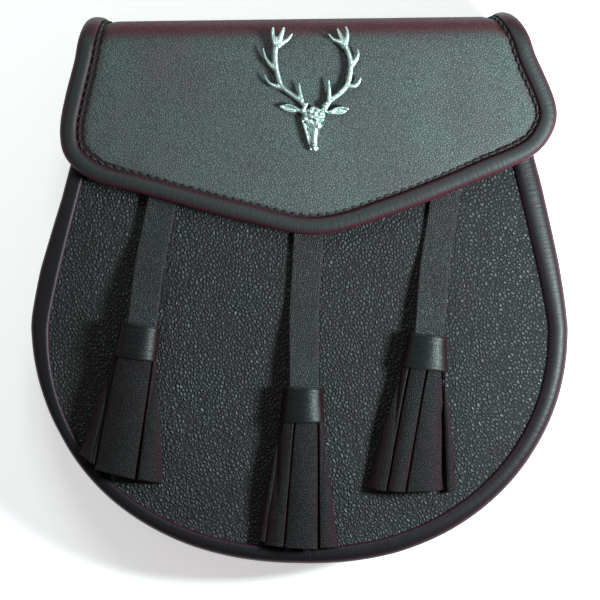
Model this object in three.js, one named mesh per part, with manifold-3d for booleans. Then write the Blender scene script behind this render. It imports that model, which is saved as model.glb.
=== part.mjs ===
// A black leather day sporran lying on its back, as worn on a belt over a kilt.
// Millimetres. +X points to the right of its front, +Y up to the fold of its flap, +Z out of its front.
// Heights along Y are measured from the widest line of the body until the whole is centred at the end.
import * as THREE from "three";
import { mergeVertices } from "three/addons/utils/BufferGeometryUtils.js";
import Module from "manifold-3d";

const wasm = await Module();
wasm.setup();

// Gap kept between pieces that touch
const GAP = 0.3;

// Leather thicknesses
const PANEL_THICK = 2.0;
const GUSSET_THICK = 1.6;
const LIP_THICK = 1.4;
const STRAP_THICK = 1.8;
const CUFF_WALL = 1.2;
const STRIP_THICK = 1.6;
const LOOP_THICK = 2.0;

// Body: a U seen from the front, narrowing to the mouth, with a superellipse below its widest line
const BODY = {
  halfWidth: 93.3,
  lowerHeight: 81.4,
  roundness: 2.13,
  upperHeight: 96.5,
  mouthHalfWidth: 69.5,
  shoulder: 0.12,
  depth: 24,
};

// Rolled binding on the two seams of the body
const BODY_ROLL = { width: 6.8, slotDepth: 3.8, slotEase: 0.6 };

// Dome of the front panel and hollow of the back panel, each reached this far in from its rim
const DOME = { height: 3.4, reach: 62, fullness: 2.5 };
const HOLLOW = { height: 6.4, reach: 30, fullness: 2.5 };

// Gusset: the side wall, folded inwards at mid depth
const GUSSET_FOLD = 3.2;

// Flap: it leaves the back panel, turns over the mouth and hangs down the front to a point
const FLAP = {
  halfWidth: 89.8,
  drop: 64,
  foldReach: 10,
  foldSquareness: 2.8,
  askew: 0.013,
  crownPower: 3,
};
const FLAP_ROLL = { width: 6.4, slotDepth: 3.6, slotEase: 0.6 };

// Edge of the flap below its fold, from left over the point to right: across is a share of the
// flap's half width, down a share of its drop
const FLAP_EDGE = [
  { across: -0.871, down: 0.0 },
  { across: -0.914, down: 0.24 },
  { across: -0.934, down: 0.415 },
  { across: -0.91, down: 0.568 },
  { across: -0.801, down: 0.69 },
  { across: -0.622, down: 0.763 },
  { across: -0.236, down: 0.915 },
  { across: 0.072, down: 1.0 },
  { across: 0.39, down: 0.881 },
  { across: 0.711, down: 0.707 },
  { across: 0.91, down: 0.583 },
  { across: 0.984, down: 0.455 },
  { across: 1.0, down: 0.34 },
  { across: 0.972, down: 0.209 },
  { across: 0.904, down: 0.0 },
];

// Straps that carry the tassels: they start under the flap, and rise from the panel into their cuffs
const STRAP = { width: 10.5, underFlap: 12, climb: 14, inCuff: 4.3 };

// Cuff round the end of a strap and the head of its tassel: ease is the room beside the strap
const CUFF = { ease: 0.55, thick: 9.2, length: 12.4, squareness: 2.6, flare: 1.08 };

// Head of a tassel, held in the cuff below the end of the strap
const HEAD = { belowStrap: 1.6, belowCuff: 1.2 };

// Fringe of a tassel: strips of leather fixed round its head
const FRINGE = { length: 44, halfWidth: 14, stripWidth: 6.2 };

// Each tassel: where its strap leaves the flap and where its cuff begins as shares of the body's half
// width, how far the cuff begins down the lower body as a share of that, and the length, spread and
// sideways lean of its fringe as shares of a fringe. Of a strip, turn is its place round the head in
// degrees (90 is the front), foot a share of the spread, layer 0 lies on the panel and 1 on top, and
// fall is a share of the length.
const TASSELS = [
  {
    name: "left",
    strapAt: -0.522,
    cuffAt: -0.595,
    cuffDown: -0.022,
    long: 0.95,
    spread: 1.0,
    lean: -0.28,
    strips: [
      { turn: 175, foot: -0.75, layer: 0, fall: 0.9 },
      { turn: 118, foot: -0.33, layer: 1, fall: 0.97 },
      { turn: 75, foot: 0.12, layer: 1, fall: 1.0 },
      { turn: 20, foot: 0.72, layer: 1, fall: 1.0 },
      { turn: 300, foot: 0.4, layer: 0, fall: 0.98 },
      { turn: 240, foot: -0.2, layer: 0, fall: 0.97 },
    ],
  },
  {
    name: "centre",
    strapAt: 0.026,
    cuffAt: 0.011,
    cuffDown: 0.247,
    long: 1.0,
    spread: 0.95,
    lean: 0.04,
    strips: [
      { turn: 185, foot: -0.76, layer: 0, fall: 0.97 },
      { turn: 135, foot: -0.6, layer: 1, fall: 0.99 },
      { turn: 95, foot: -0.08, layer: 1, fall: 1.0 },
      { turn: 25, foot: 0.77, layer: 1, fall: 0.99 },
      { turn: 320, foot: 0.36, layer: 0, fall: 0.99 },
      { turn: 250, foot: -0.2, layer: 0, fall: 0.98 },
    ],
  },
  {
    name: "right",
    strapAt: 0.536,
    cuffAt: 0.478,
    cuffDown: 0.021,
    long: 0.99,
    spread: 1.07,
    lean: -0.21,
    strips: [
      { turn: 165, foot: -0.77, layer: 1, fall: 0.96 },
      { turn: 115, foot: -0.34, layer: 1, fall: 0.98 },
      { turn: 70, foot: 0.18, layer: 1, fall: 1.0 },
      { turn: 5, foot: 0.78, layer: 0, fall: 0.99 },
      { turn: 300, foot: 0.3, layer: 0, fall: 0.97 },
      { turn: 235, foot: -0.2, layer: 0, fall: 0.96 },
    ],
  },
];

// Belt loop on the back: a band that stands off the hollow of the back panel
const LOOP = { length: 62, tunnelHeight: 32, flange: 9, centreY: 32, slope: 4 };
const LOOP_ABOVE_FLOOR = 0.4;

// Press stud that holds the flap's point down
const STUD = { radius: 6, upFromPoint: 21 };

// Cast stag's head on the flap. Its tables give shares: right of the centre in half widths,
// up from the centre in half heights
const BADGE = {
  halfWidth: 17.3,
  halfHeight: 22,
  centreX: 4.2,
  belowFold: 24,
  beam: 0.78,
  tine: 0.52,
  tip: 0.2,
  ear: 1.5,
};
const ANTLER_SIDES = 5;
const BEAMS = [
  {
    name: "left",
    path: [
      [-0.12, -0.27],
      [-0.31, -0.14],
      [-0.47, -0.04],
      [-0.61, 0.04],
      [-0.71, 0.28],
      [-0.74, 0.43],
      [-0.73, 0.58],
      [-0.67, 0.75],
    ],
  },
  {
    name: "right",
    path: [
      [0.25, -0.27],
      [0.42, -0.14],
      [0.58, -0.03],
      [0.71, 0.06],
      [0.78, 0.27],
      [0.8, 0.41],
      [0.75, 0.54],
      [0.62, 0.74],
    ],
  },
];
const TINES = [
  { from: [-0.23, -0.18], via: [-0.25, -0.01], tip: [-0.26, 0.09] },
  { from: [-0.6, 0.0], via: [-0.83, 0.06], tip: [-0.95, 0.22] },
  { from: [-0.72, 0.28], via: [-0.91, 0.42], tip: [-0.98, 0.64] },
  { from: [-0.69, 0.72], via: [-0.77, 0.85], tip: [-0.77, 0.98] },
  { from: [-0.69, 0.72], via: [-0.61, 0.86], tip: [-0.56, 0.98] },
  { from: [-0.7, 0.66], via: [-0.52, 0.75], tip: [-0.39, 0.86] },
  { from: [0.34, -0.18], via: [0.33, 0.01], tip: [0.34, 0.15] },
  { from: [0.69, 0.02], via: [0.88, 0.05], tip: [0.98, 0.18] },
  { from: [0.79, 0.38], via: [0.93, 0.49], tip: [0.93, 0.63] },
  { from: [0.63, 0.71], via: [0.42, 0.77], tip: [0.34, 0.87] },
  { from: [0.62, 0.73], via: [0.57, 0.86], tip: [0.51, 0.96] },
  { from: [0.65, 0.71], via: [0.73, 0.86], tip: [0.67, 0.99] },
];
// Sections of the head from its crown to its nose: half and rise are shares of the badge's half width
const HEAD_SECTIONS = [
  { right: 0.06, up: -0.24, half: 0.16, rise: 0.09 },
  { right: 0.06, up: -0.3, half: 0.27, rise: 0.16 },
  { right: 0.03, up: -0.42, half: 0.26, rise: 0.21 },
  { right: 0.01, up: -0.56, half: 0.19, rise: 0.2 },
  { right: 0.01, up: -0.72, half: 0.115, rise: 0.17 },
  { right: 0.02, up: -0.88, half: 0.1, rise: 0.15 },
  { right: 0.04, up: -0.95, half: 0.115, rise: 0.15 },
  { right: 0.04, up: -1.0, half: 0.07, rise: 0.08 },
];
const EARS = [
  { root: [-0.2, -0.33], tip: [-0.65, -0.27] },
  { root: [0.3, -0.36], tip: [0.74, -0.31] },
];

const { lerp, clamp, degToRad } = THREE.MathUtils;

// Heights that follow from the sizes above
const seamSlot = PANEL_THICK + GUSSET_THICK + 3 * GAP;
const seamRollThick = seamSlot + 2 * LIP_THICK;
const backSeamZ = seamRollThick / 2;
const frontSeamZ = backSeamZ + BODY.depth;
const panelOffset = seamSlot / 2 - GAP - PANEL_THICK / 2;
const gussetOffset = seamSlot / 2 - GAP - GUSSET_THICK / 2;
const flapSlot = PANEL_THICK + 2 * GAP;
const flapRollThick = flapSlot + 2 * LIP_THICK;
const frontRollTop = frontSeamZ + seamRollThick / 2;
const flapEdgeZ = frontRollTop + GAP + flapRollThick / 2;
const domeTopZ = frontSeamZ + panelOffset + PANEL_THICK / 2 + DOME.height;
const flapCentreZ = domeTopZ + GAP + STRAP_THICK + GAP + flapRollThick / 2;
const flapBackZ = backSeamZ - panelOffset;
const foldBaseY = BODY.upperHeight + GAP;

// Helpers that turn points and faces into closed solids

// A geometry from points and triangles, with doubled points merged and its faces turned outwards.
function solid(points, faces) {
  const raw = new THREE.BufferGeometry();
  const numbers = points.flatMap((point) => point.toArray());
  raw.setAttribute("position", new THREE.Float32BufferAttribute(numbers, 3));
  raw.setIndex(faces.flat());
  const merged = mergeVertices(raw, 1e-3);
  const kept = trianglesOf(merged).filter(([a, b, c]) => a !== b && b !== c && c !== a);
  const outward = volumeOf(merged, kept) > 0 ? kept : kept.map(([a, b, c]) => [a, c, b]);
  merged.setIndex(outward.flat());
  return merged;
}

// The triangles of an indexed geometry as triples of point numbers.
function trianglesOf(geometry) {
  const index = Array.from(geometry.index.array);
  return Array.from({ length: index.length / 3 }, (_, i) => index.slice(3 * i, 3 * i + 3));
}

// The signed volume inside a closed set of triangles.
function volumeOf(geometry, triangles) {
  const position = geometry.getAttribute("position");
  const corner = (i) => new THREE.Vector3().fromBufferAttribute(position, i);
  return triangles.reduce((sum, [a, b, c]) => sum + corner(a).dot(corner(b).cross(corner(c))) / 6, 0);
}

// Two triangles for a quad whose corners are given in order.
const quad = (a, b, c, d) => [
  [a, b, c],
  [a, c, d],
];

// The normal of a surface of two shares, by small differences.
function normalAt(surface, u, v) {
  const step = 1e-3;
  const alongU = surface(Math.min(u + step, 1), v).sub(surface(Math.max(u - step, 0), v));
  const alongV = surface(u, Math.min(v + step, 1)).sub(surface(u, Math.max(v - step, 0)));
  return alongV.cross(alongU).normalize();
}

// A sheet of even thickness about a middle surface of two shares.
function sheet(columns, rows, thickness, surface) {
  const points = [];
  for (const side of [0.5, -0.5]) {
    for (let j = 0; j <= rows; j++) {
      for (let i = 0; i <= columns; i++) {
        const normal = normalAt(surface, i / columns, j / rows);
        points.push(surface(i / columns, j / rows).addScaledVector(normal, side * thickness));
      }
    }
  }
  const layer = (columns + 1) * (rows + 1);
  const at = (i, j, side) => side * layer + j * (columns + 1) + i;
  const faces = [];
  for (let j = 0; j < rows; j++) {
    for (let i = 0; i < columns; i++) {
      faces.push(...quad(at(i, j, 0), at(i, j + 1, 0), at(i + 1, j + 1, 0), at(i + 1, j, 0)));
      faces.push(...quad(at(i, j, 1), at(i + 1, j, 1), at(i + 1, j + 1, 1), at(i, j + 1, 1)));
    }
  }
  for (let i = 0; i < columns; i++) {
    faces.push(...quad(at(i, 0, 0), at(i + 1, 0, 0), at(i + 1, 0, 1), at(i, 0, 1)));
    faces.push(...quad(at(i + 1, rows, 0), at(i, rows, 0), at(i, rows, 1), at(i + 1, rows, 1)));
  }
  for (let j = 0; j < rows; j++) {
    faces.push(...quad(at(0, j + 1, 0), at(0, j, 0), at(0, j, 1), at(0, j + 1, 1)));
    faces.push(...quad(at(columns, j, 0), at(columns, j + 1, 0), at(columns, j + 1, 1), at(columns, j, 1)));
  }
  return solid(points, faces);
}

// The normal of what lies flat.
const faceUp = () => new THREE.Vector3(0, 0, 1);

// Frames along a path: at each point the direction out of the edge and the normal of the surface.
function framesAlong(path, normals) {
  return path.map((point, i) => {
    const before = path[Math.max(i - 1, 0)];
    const after = path[Math.min(i + 1, path.length - 1)];
    const tangent = after.clone().sub(before).normalize();
    const out = tangent.clone().cross(normals[i]).normalize();
    const up = out.clone().cross(tangent).normalize();
    return { point, out, up };
  });
}

// A closed section, counter-clockwise in (out, up), carried along frames, with flat ends.
// At each frame the section is scaled by the widths and heights given.
function sweep(section, frames, widths = () => 1, heights = () => 1) {
  const points = frames.flatMap(({ point, out, up }, k) => {
    const share = k / (frames.length - 1);
    return section.map((corner) =>
      point
        .clone()
        .addScaledVector(out, corner.x * widths(share))
        .addScaledVector(up, corner.y * heights(share)),
    );
  });
  const count = section.length;
  const faces = [];
  for (let k = 0; k + 1 < frames.length; k++) {
    for (let i = 0; i < count; i++) {
      const next = (i + 1) % count;
      faces.push(...quad(k * count + i, (k + 1) * count + i, (k + 1) * count + next, k * count + next));
    }
  }
  const last = (frames.length - 1) * count;
  for (const [a, b, c] of THREE.ShapeUtils.triangulateShape(section, [])) {
    faces.push([a, b, c]);
    faces.push([last + a, last + c, last + b]);
  }
  return solid(points, faces);
}

// A closed cycle of rings with the same number of points each, as on a short tube with a wall.
function ringCycle(rings) {
  const count = rings[0].length;
  const faces = [];
  rings.forEach((ring, k) => {
    const nextRing = (k + 1) % rings.length;
    for (let i = 0; i < count; i++) {
      const next = (i + 1) % count;
      faces.push(...quad(k * count + i, nextRing * count + i, nextRing * count + next, k * count + next));
    }
  });
  return solid(rings.flat(), faces);
}

// A superellipse with the given half axes and squareness, as a closed section.
function ovalSection(halfAcross, halfUp, squareness, sides) {
  return Array.from({ length: sides }, (_, i) => {
    const turn = (2 * Math.PI * i) / sides;
    return ovalPoint(halfAcross, halfUp, squareness, turn);
  });
}

// The point of a superellipse at a turn.
function ovalPoint(halfAcross, halfUp, squareness, turn) {
  const bend = (value) => Math.sign(value) * Math.abs(value) ** (2 / squareness);
  return new THREE.Vector2(halfAcross * bend(Math.cos(turn)), halfUp * bend(Math.sin(turn)));
}

// A rectangle as a closed section.
function barSection(width, thick) {
  const x = width / 2;
  const y = thick / 2;
  return [
    new THREE.Vector2(-x, -y),
    new THREE.Vector2(x, -y),
    new THREE.Vector2(x, y),
    new THREE.Vector2(-x, y),
  ];
}

// A geometry as a solid that can be joined with others.
function joinable(geometry) {
  return new wasm.Manifold(
    new wasm.Mesh({
      numProp: 3,
      vertProperties: geometry.getAttribute("position").array,
      triVerts: new Uint32Array(geometry.index.array),
    }),
  );
}

// Several overlapping geometries as one.
function fuse(geometries) {
  const whole = geometries.map(joinable).reduce((sum, next) => sum.add(next));
  const mesh = whole.getMesh();
  const geometry = new THREE.BufferGeometry();
  geometry.setAttribute("position", new THREE.Float32BufferAttribute(mesh.vertProperties, 3));
  geometry.setIndex(Array.from(mesh.triVerts));
  return geometry;
}

// Shape of the body

// The outer edge of the body from the left of the mouth, round the bottom, to its right.
function bodyOutline() {
  const upper = new THREE.QuadraticBezierCurve(
    new THREE.Vector2(BODY.halfWidth, 0),
    new THREE.Vector2(BODY.halfWidth, BODY.shoulder * BODY.upperHeight),
    new THREE.Vector2(BODY.mouthHalfWidth, BODY.upperHeight),
  ).getPoints(12);
  const lowerSteps = 16;
  const lower = Array.from({ length: lowerSteps }, (_, i) => {
    const turn = -Math.PI / 2 + ((Math.PI / 2) * i) / lowerSteps;
    return ovalPoint(BODY.halfWidth, BODY.lowerHeight, BODY.roundness, turn);
  });
  const right = [...lower, ...upper];
  const left = right.slice(1).map((point) => new THREE.Vector2(-point.x, point.y));
  const curve = new THREE.SplineCurve([...left.reverse(), ...right]);
  curve.arcLengthDivisions = 600;
  return curve;
}

const outline = bodyOutline();

// A point of the body's edge at a share of its length, moved in by a distance.
function bodyEdge(share, inset, z) {
  const point = outline.getPointAt(share);
  const tangent = outline.getTangentAt(share);
  return new THREE.Vector3(point.x - tangent.y * inset, point.y + tangent.x * inset, z);
}

const rimLines = outline
  .getSpacedPoints(90)
  .map((point) => new THREE.Vector3(point.x, point.y, 0))
  .map((point, i, points) => new THREE.Line3(point, points[Math.min(i + 1, points.length - 1)]))
  .slice(0, -1);

// How far a point of the body is from the outer edge of its seam.
function fromEdge(x, y) {
  const place = new THREE.Vector3(x, y, 0);
  const nearest = new THREE.Vector3();
  return rimLines.reduce(
    (least, line) => Math.min(least, line.closestPointToPoint(place, true, nearest).distanceTo(place)),
    Infinity,
  );
}

// The rise of a panel above its flat rim: steep at the rim, level in the middle.
function rise(shape, distance, rim) {
  const inward = clamp((distance - rim) / shape.reach, 0, 1);
  return shape.height * (1 - (1 - inward) ** shape.fullness);
}

// Middle surface of the front panel.
function frontPanelZ(x, y) {
  return frontSeamZ + panelOffset + rise(DOME, fromEdge(x, y), BODY_ROLL.width);
}

// Middle surface of the back panel, hollowed so that the belt loop stays clear of what it lies on.
function backPanelZ(x, y) {
  const distance = Math.min(fromEdge(x, y), BODY.upperHeight - y + BODY_ROLL.width);
  const rim = BODY_ROLL.width + 2 * GUSSET_THICK + GAP;
  return backSeamZ - panelOffset + rise(HOLLOW, distance, rim);
}

// The height on which a strap or a tassel lies: the front panel, or the roll at its rim.
function restHeight(x, y) {
  const panelFace = frontPanelZ(x, y) + PANEL_THICK / 2;
  const rollFace = frontRollTop - Math.max(0, fromEdge(x, y) - BODY_ROLL.width);
  return Math.max(panelFace, rollFace);
}

// The greatest such height under a strip that reaches a half width to both sides of a place.
function restUnder(place, across, half) {
  const heightAt = (side) => restHeight(place.x + side * across.x, place.y + side * across.y);
  return Math.max(...[-half, 0, half].map(heightAt));
}

// A panel inside the body's outline, row by row from the mouth to the bottom, with its columns
// crowded towards the rim, where it is steepest.
function panel(columns, rows, height) {
  const inset = BODY_ROLL.width - BODY_ROLL.slotDepth;
  const lastRow = 0.49;
  const crowding = 1.75;
  return sheet(columns, rows, PANEL_THICK, (u, v) => {
    const left = bodyEdge(v * lastRow, inset, 0);
    const right = bodyEdge(1 - v * lastRow, inset, 0);
    const toMiddle = (1 - Math.abs(2 * u - 1)) ** crowding / 2;
    const place = left.lerp(right, u < 0.5 ? toMiddle : 1 - toMiddle);
    return place.setZ(height(place.x, place.y));
  });
}

// The side wall: flanges in both seams, and a wall folded inwards between them.
function gusset() {
  const flangeEdge = BODY_ROLL.width - BODY_ROLL.slotDepth;
  const wall = BODY_ROLL.width + GAP + GUSSET_THICK / 2;
  const bottom = backSeamZ + gussetOffset;
  const top = frontSeamZ - gussetOffset;
  const section = [
    { inward: flangeEdge, up: 0 },
    { inward: wall, up: 0.02 },
    { inward: wall + 0.35 * GUSSET_FOLD, up: 0.2 },
    { inward: wall + GUSSET_FOLD, up: 0.5 },
    { inward: wall + 0.35 * GUSSET_FOLD, up: 0.8 },
    { inward: wall, up: 0.98 },
    { inward: flangeEdge, up: 1 },
  ];
  const rows = section.length - 1;
  return sheet(30, rows, GUSSET_THICK, (u, v) => {
    const place = Math.min(Math.floor(v * rows), rows - 1);
    const share = v * rows - place;
    const inward = lerp(section[place].inward, section[place + 1].inward, share);
    const up = lerp(section[place].up, section[place + 1].up, share);
    return bodyEdge(u, inward, lerp(bottom, top, up));
  });
}

// Section of a rolled binding: a folded strip whose slot holds the edge of the leather.
// Across, 0 is the edge of the leather that it holds, and positive is outwards.
function rollSection(roll, slot) {
  const half = slot / 2 + LIP_THICK;
  const inner = -roll.slotDepth;
  const outer = roll.width - roll.slotDepth;
  const middle = lerp(inner, outer, 0.42);
  const arc = [-90, -45, 0, 45, 90].map((degrees) => {
    const turn = degToRad(degrees);
    return new THREE.Vector2(lerp(middle, outer, Math.cos(turn)), half * Math.sin(turn));
  });
  return [
    new THREE.Vector2(roll.slotEase, -slot / 2),
    new THREE.Vector2(inner, -slot / 2),
    new THREE.Vector2(inner, -0.82 * half),
    ...arc,
    new THREE.Vector2(inner, 0.82 * half),
    new THREE.Vector2(inner, slot / 2),
    new THREE.Vector2(roll.slotEase, slot / 2),
  ];
}

// The binding of one seam of the body.
function seamRoll(z) {
  const steps = 42;
  const inset = BODY_ROLL.width - BODY_ROLL.slotDepth;
  const mouthTrim = (0.3 * BODY_ROLL.width) / outline.getLength();
  const path = Array.from({ length: steps + 1 }, (_, i) =>
    bodyEdge(lerp(mouthTrim, 1 - mouthTrim, i / steps), inset, z),
  );
  return sweep(rollSection(BODY_ROLL, seamSlot), framesAlong(path, path.map(faceUp)));
}

// Shape of the flap

// The base line of the fold, which runs a little uphill to the right on the front.
function foldLineY(x, turn) {
  return foldBaseY + FLAP.askew * x * Math.min(1, 1 + Math.sin(turn));
}

const flapEdge = new THREE.SplineCurve(
  FLAP_EDGE.map(({ across, down }) => {
    const x = across * FLAP.halfWidth;
    return new THREE.Vector2(x, foldLineY(x, Math.PI / 2) - down * FLAP.drop);
  }),
);
flapEdge.arcLengthDivisions = 600;

// The share of the edge at which the flap's point lies.
const pointShare = Array.from({ length: 401 }, (_, i) => i / 400).reduce((lowest, share) =>
  flapEdge.getPointAt(share).y < flapEdge.getPointAt(lowest).y ? share : lowest,
);

// A point of the edge of the flap's own leather, inside its binding.
function flapLeatherEdge(share) {
  const inset = FLAP_ROLL.width - FLAP_ROLL.slotDepth;
  const point = flapEdge.getPointAt(share);
  const tangent = flapEdge.getTangentAt(share);
  return new THREE.Vector2(point.x - tangent.y * inset, point.y + tangent.x * inset);
}

// Height of the flap on the front: it lies over the rolls at its sides and the straps in its middle.
function flapZ(x) {
  const outward = Math.min(1, Math.abs(x) / FLAP.halfWidth) ** FLAP.crownPower;
  return lerp(flapCentreZ, flapEdgeZ, outward);
}

const FOLD_ROWS = 8;
const FRONT_ROWS = 14;
const foldShare = FOLD_ROWS / (FOLD_ROWS + FRONT_ROWS);

// Middle surface of the flap: u from left to right, v from the back seam over the fold to the point.
function flapSurface(u, v) {
  const inset = FLAP_ROLL.width - FLAP_ROLL.slotDepth;
  if (v < foldShare) {
    const share = v / foldShare;
    const turn = Math.PI * (share - 0.5);
    const backHalf = BODY.mouthHalfWidth - inset;
    const left = lerp(-backHalf, flapLeatherEdge(0).x, share);
    const right = lerp(backHalf, flapLeatherEdge(1).x, share);
    const x = lerp(left, right, u);
    const arc = ovalPoint(FLAP.foldReach, (flapZ(x) - flapBackZ) / 2, FLAP.foldSquareness, turn);
    return new THREE.Vector3(x, foldLineY(x, turn) + arc.x, (flapZ(x) + flapBackZ) / 2 + arc.y);
  }
  const down = (0.985 * (v - foldShare)) / (1 - foldShare);
  const left = flapLeatherEdge(pointShare * down);
  const right = flapLeatherEdge(1 - (1 - pointShare) * down);
  const place = left.lerp(right, u);
  return new THREE.Vector3(place.x, place.y, flapZ(place.x));
}

// The binding round the flap's edge, from the back seam over one end of the fold, round the point and back.
function flapRoll() {
  const rows = FOLD_ROWS + FRONT_ROWS;
  const places = [];
  for (let i = 0; i <= rows; i++) {
    places.push([0, i / rows]);
  }
  places.push([0.5, 1]);
  for (let i = rows; i >= 0; i--) {
    places.push([1, i / rows]);
  }
  const path = places.map(([u, v]) => flapSurface(u, v));
  const normals = places.map(([u, v]) => normalAt(flapSurface, u, v));
  return sweep(rollSection(FLAP_ROLL, flapSlot), framesAlong(path, normals));
}

// Straps, cuffs and tassels

const cuffWidth = STRAP.width + 2 * (CUFF_WALL + CUFF.ease);
const headTop = STRAP.inCuff + HEAD.belowStrap;

// The height of the flap's lower edge at a place across it, where a strap comes out from under it.
function flapLowerEdgeY(x) {
  const near = STRAP.width / 2;
  const edge = flapEdge.getSpacedPoints(200).filter((point) => Math.abs(point.x - x) < near);
  return Math.min(...edge.map((point) => point.y));
}

// The line of a strap: its top at the flap's edge, the top of its cuff, and its two directions.
function strapLine(shape) {
  const topX = shape.strapAt * BODY.halfWidth;
  const top = new THREE.Vector2(topX, flapLowerEdgeY(topX));
  const cuffTop = new THREE.Vector2(shape.cuffAt * BODY.halfWidth, -shape.cuffDown * BODY.lowerHeight);
  const down = cuffTop.clone().sub(top).normalize();
  const across = new THREE.Vector2(-down.y, down.x);
  return { top, cuffTop, down, across };
}

// The middle line of a cuff: its place at a distance below its top, clear of the panel.
function cuffAxis(shape, distance) {
  const { cuffTop, down } = strapLine(shape);
  const place = cuffTop.addScaledVector(down, distance);
  const z = restHeight(place.x, place.y) + 2 * GAP + (CUFF.flare * CUFF.thick) / 2;
  return new THREE.Vector3(place.x, place.y, z);
}

// A strap: it lies on the front panel from under the flap down to its cuff, and ends in the cuff.
function strap(shape) {
  const { top, cuffTop, down, across } = strapLine(shape);
  const start = top.clone().addScaledVector(down, -STRAP.underFlap);
  const end = cuffTop.clone().addScaledVector(down, STRAP.inCuff);
  const lying = GAP + STRAP_THICK / 2;
  const inCuff = cuffAxis(shape, 0).z - restHeight(cuffTop.x, cuffTop.y) - GAP;
  const total = start.distanceTo(end);
  const cuffFrom = total - STRAP.inCuff;
  return sheet(2, 8, STRAP_THICK, (u, v) => {
    const place = start.clone().lerp(end, v).addScaledVector(across, (u - 0.5) * STRAP.width);
    const risen = THREE.MathUtils.smoothstep(v * total, cuffFrom - STRAP.climb, cuffFrom);
    return new THREE.Vector3(place.x, place.y, restHeight(place.x, place.y) + lerp(lying, inCuff, risen));
  });
}

// Frames down the middle line of a cuff.
function cuffFrames(shape, distances) {
  const path = distances.map((distance) => cuffAxis(shape, distance));
  return framesAlong(path, path.map(faceUp));
}

// A cuff: an oval band, a little wider at its lower end.
function cuff(shape) {
  const frames = cuffFrames(shape, [0, 0.5 * CUFF.length, CUFF.length]);
  const ring = (frame, share, inset) => {
    const size = lerp(1, CUFF.flare, share);
    const halfAcross = (size * cuffWidth) / 2 - inset;
    const halfUp = (size * CUFF.thick) / 2 - inset;
    return ovalSection(halfAcross, halfUp, CUFF.squareness, 14).map((corner) =>
      frame.point.clone().addScaledVector(frame.out, corner.x).addScaledVector(frame.up, corner.y),
    );
  };
  const outer = frames.map((frame, i) => ring(frame, i / 2, 0));
  const inner = frames.map((frame, i) => ring(frame, i / 2, CUFF_WALL));
  return ringCycle([...outer, ...inner.reverse()]);
}

// A strip of a tassel's fringe, from inside the head to its foot on the panel.
function fringeStrip(shape, strip) {
  const { down, across } = strapLine(shape);
  const mouth = cuffAxis(shape, CUFF.length);
  const turn = degToRad(strip.turn);
  const inset = CUFF_WALL + 2 * GAP + STRIP_THICK / 2;
  const seat = ovalPoint(cuffWidth / 2 - inset, CUFF.thick / 2 - inset, 2, turn);
  const length = FRINGE.length * shape.long * strip.fall;
  const insideCuff = 0.75 * (CUFF.length - headTop);
  const foot = FRINGE.halfWidth * (shape.spread * strip.foot + shape.lean);
  const lift = GAP + STRIP_THICK / 2 + strip.layer * (STRIP_THICK + GAP);
  const stations = [0, 0.14, 0.34, 0.66, 1];
  const path = stations.map((share) => {
    const distance = lerp(-insideCuff, length, share);
    const below = clamp(distance / length, 0, 1);
    const place = new THREE.Vector2(mouth.x, mouth.y)
      .addScaledVector(down, distance)
      .addScaledVector(across, lerp(seat.x, foot, below ** 0.9));
    const settled = THREE.MathUtils.smoothstep(below, 0, 0.85);
    const lying = restUnder(place, across, FRINGE.stripWidth / 2) + lift;
    return new THREE.Vector3(place.x, place.y, lerp(mouth.z + seat.y, lying, settled));
  });
  const facing = new THREE.Vector3(0, 0, Math.sin(turn) < -0.3 ? -1 : 1);
  const normals = stations.map((share) => {
    const flat = THREE.MathUtils.smoothstep(share, 0.1, 0.7);
    const around = new THREE.Vector3(across.x * Math.cos(turn), across.y * Math.cos(turn), Math.sin(turn));
    return around.lerp(facing, flat).normalize();
  });
  const narrow = (share) => lerp(0.4, 1, THREE.MathUtils.smoothstep(share, 0.12, 0.34));
  return sweep(barSection(FRINGE.stripWidth, STRIP_THICK), framesAlong(path, normals), narrow);
}

// A tassel: its oval head inside the cuff with its strips, as one piece.
function tassel(shape) {
  const inset = CUFF_WALL + GAP;
  const section = ovalSection(cuffWidth / 2 - inset, CUFF.thick / 2 - inset, 2, 12);
  const head = sweep(section, cuffFrames(shape, [headTop, CUFF.length, CUFF.length + HEAD.belowCuff]));
  return fuse([head, ...shape.strips.map((strip) => fringeStrip(shape, strip))]);
}

// Belt loop and press stud

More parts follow.
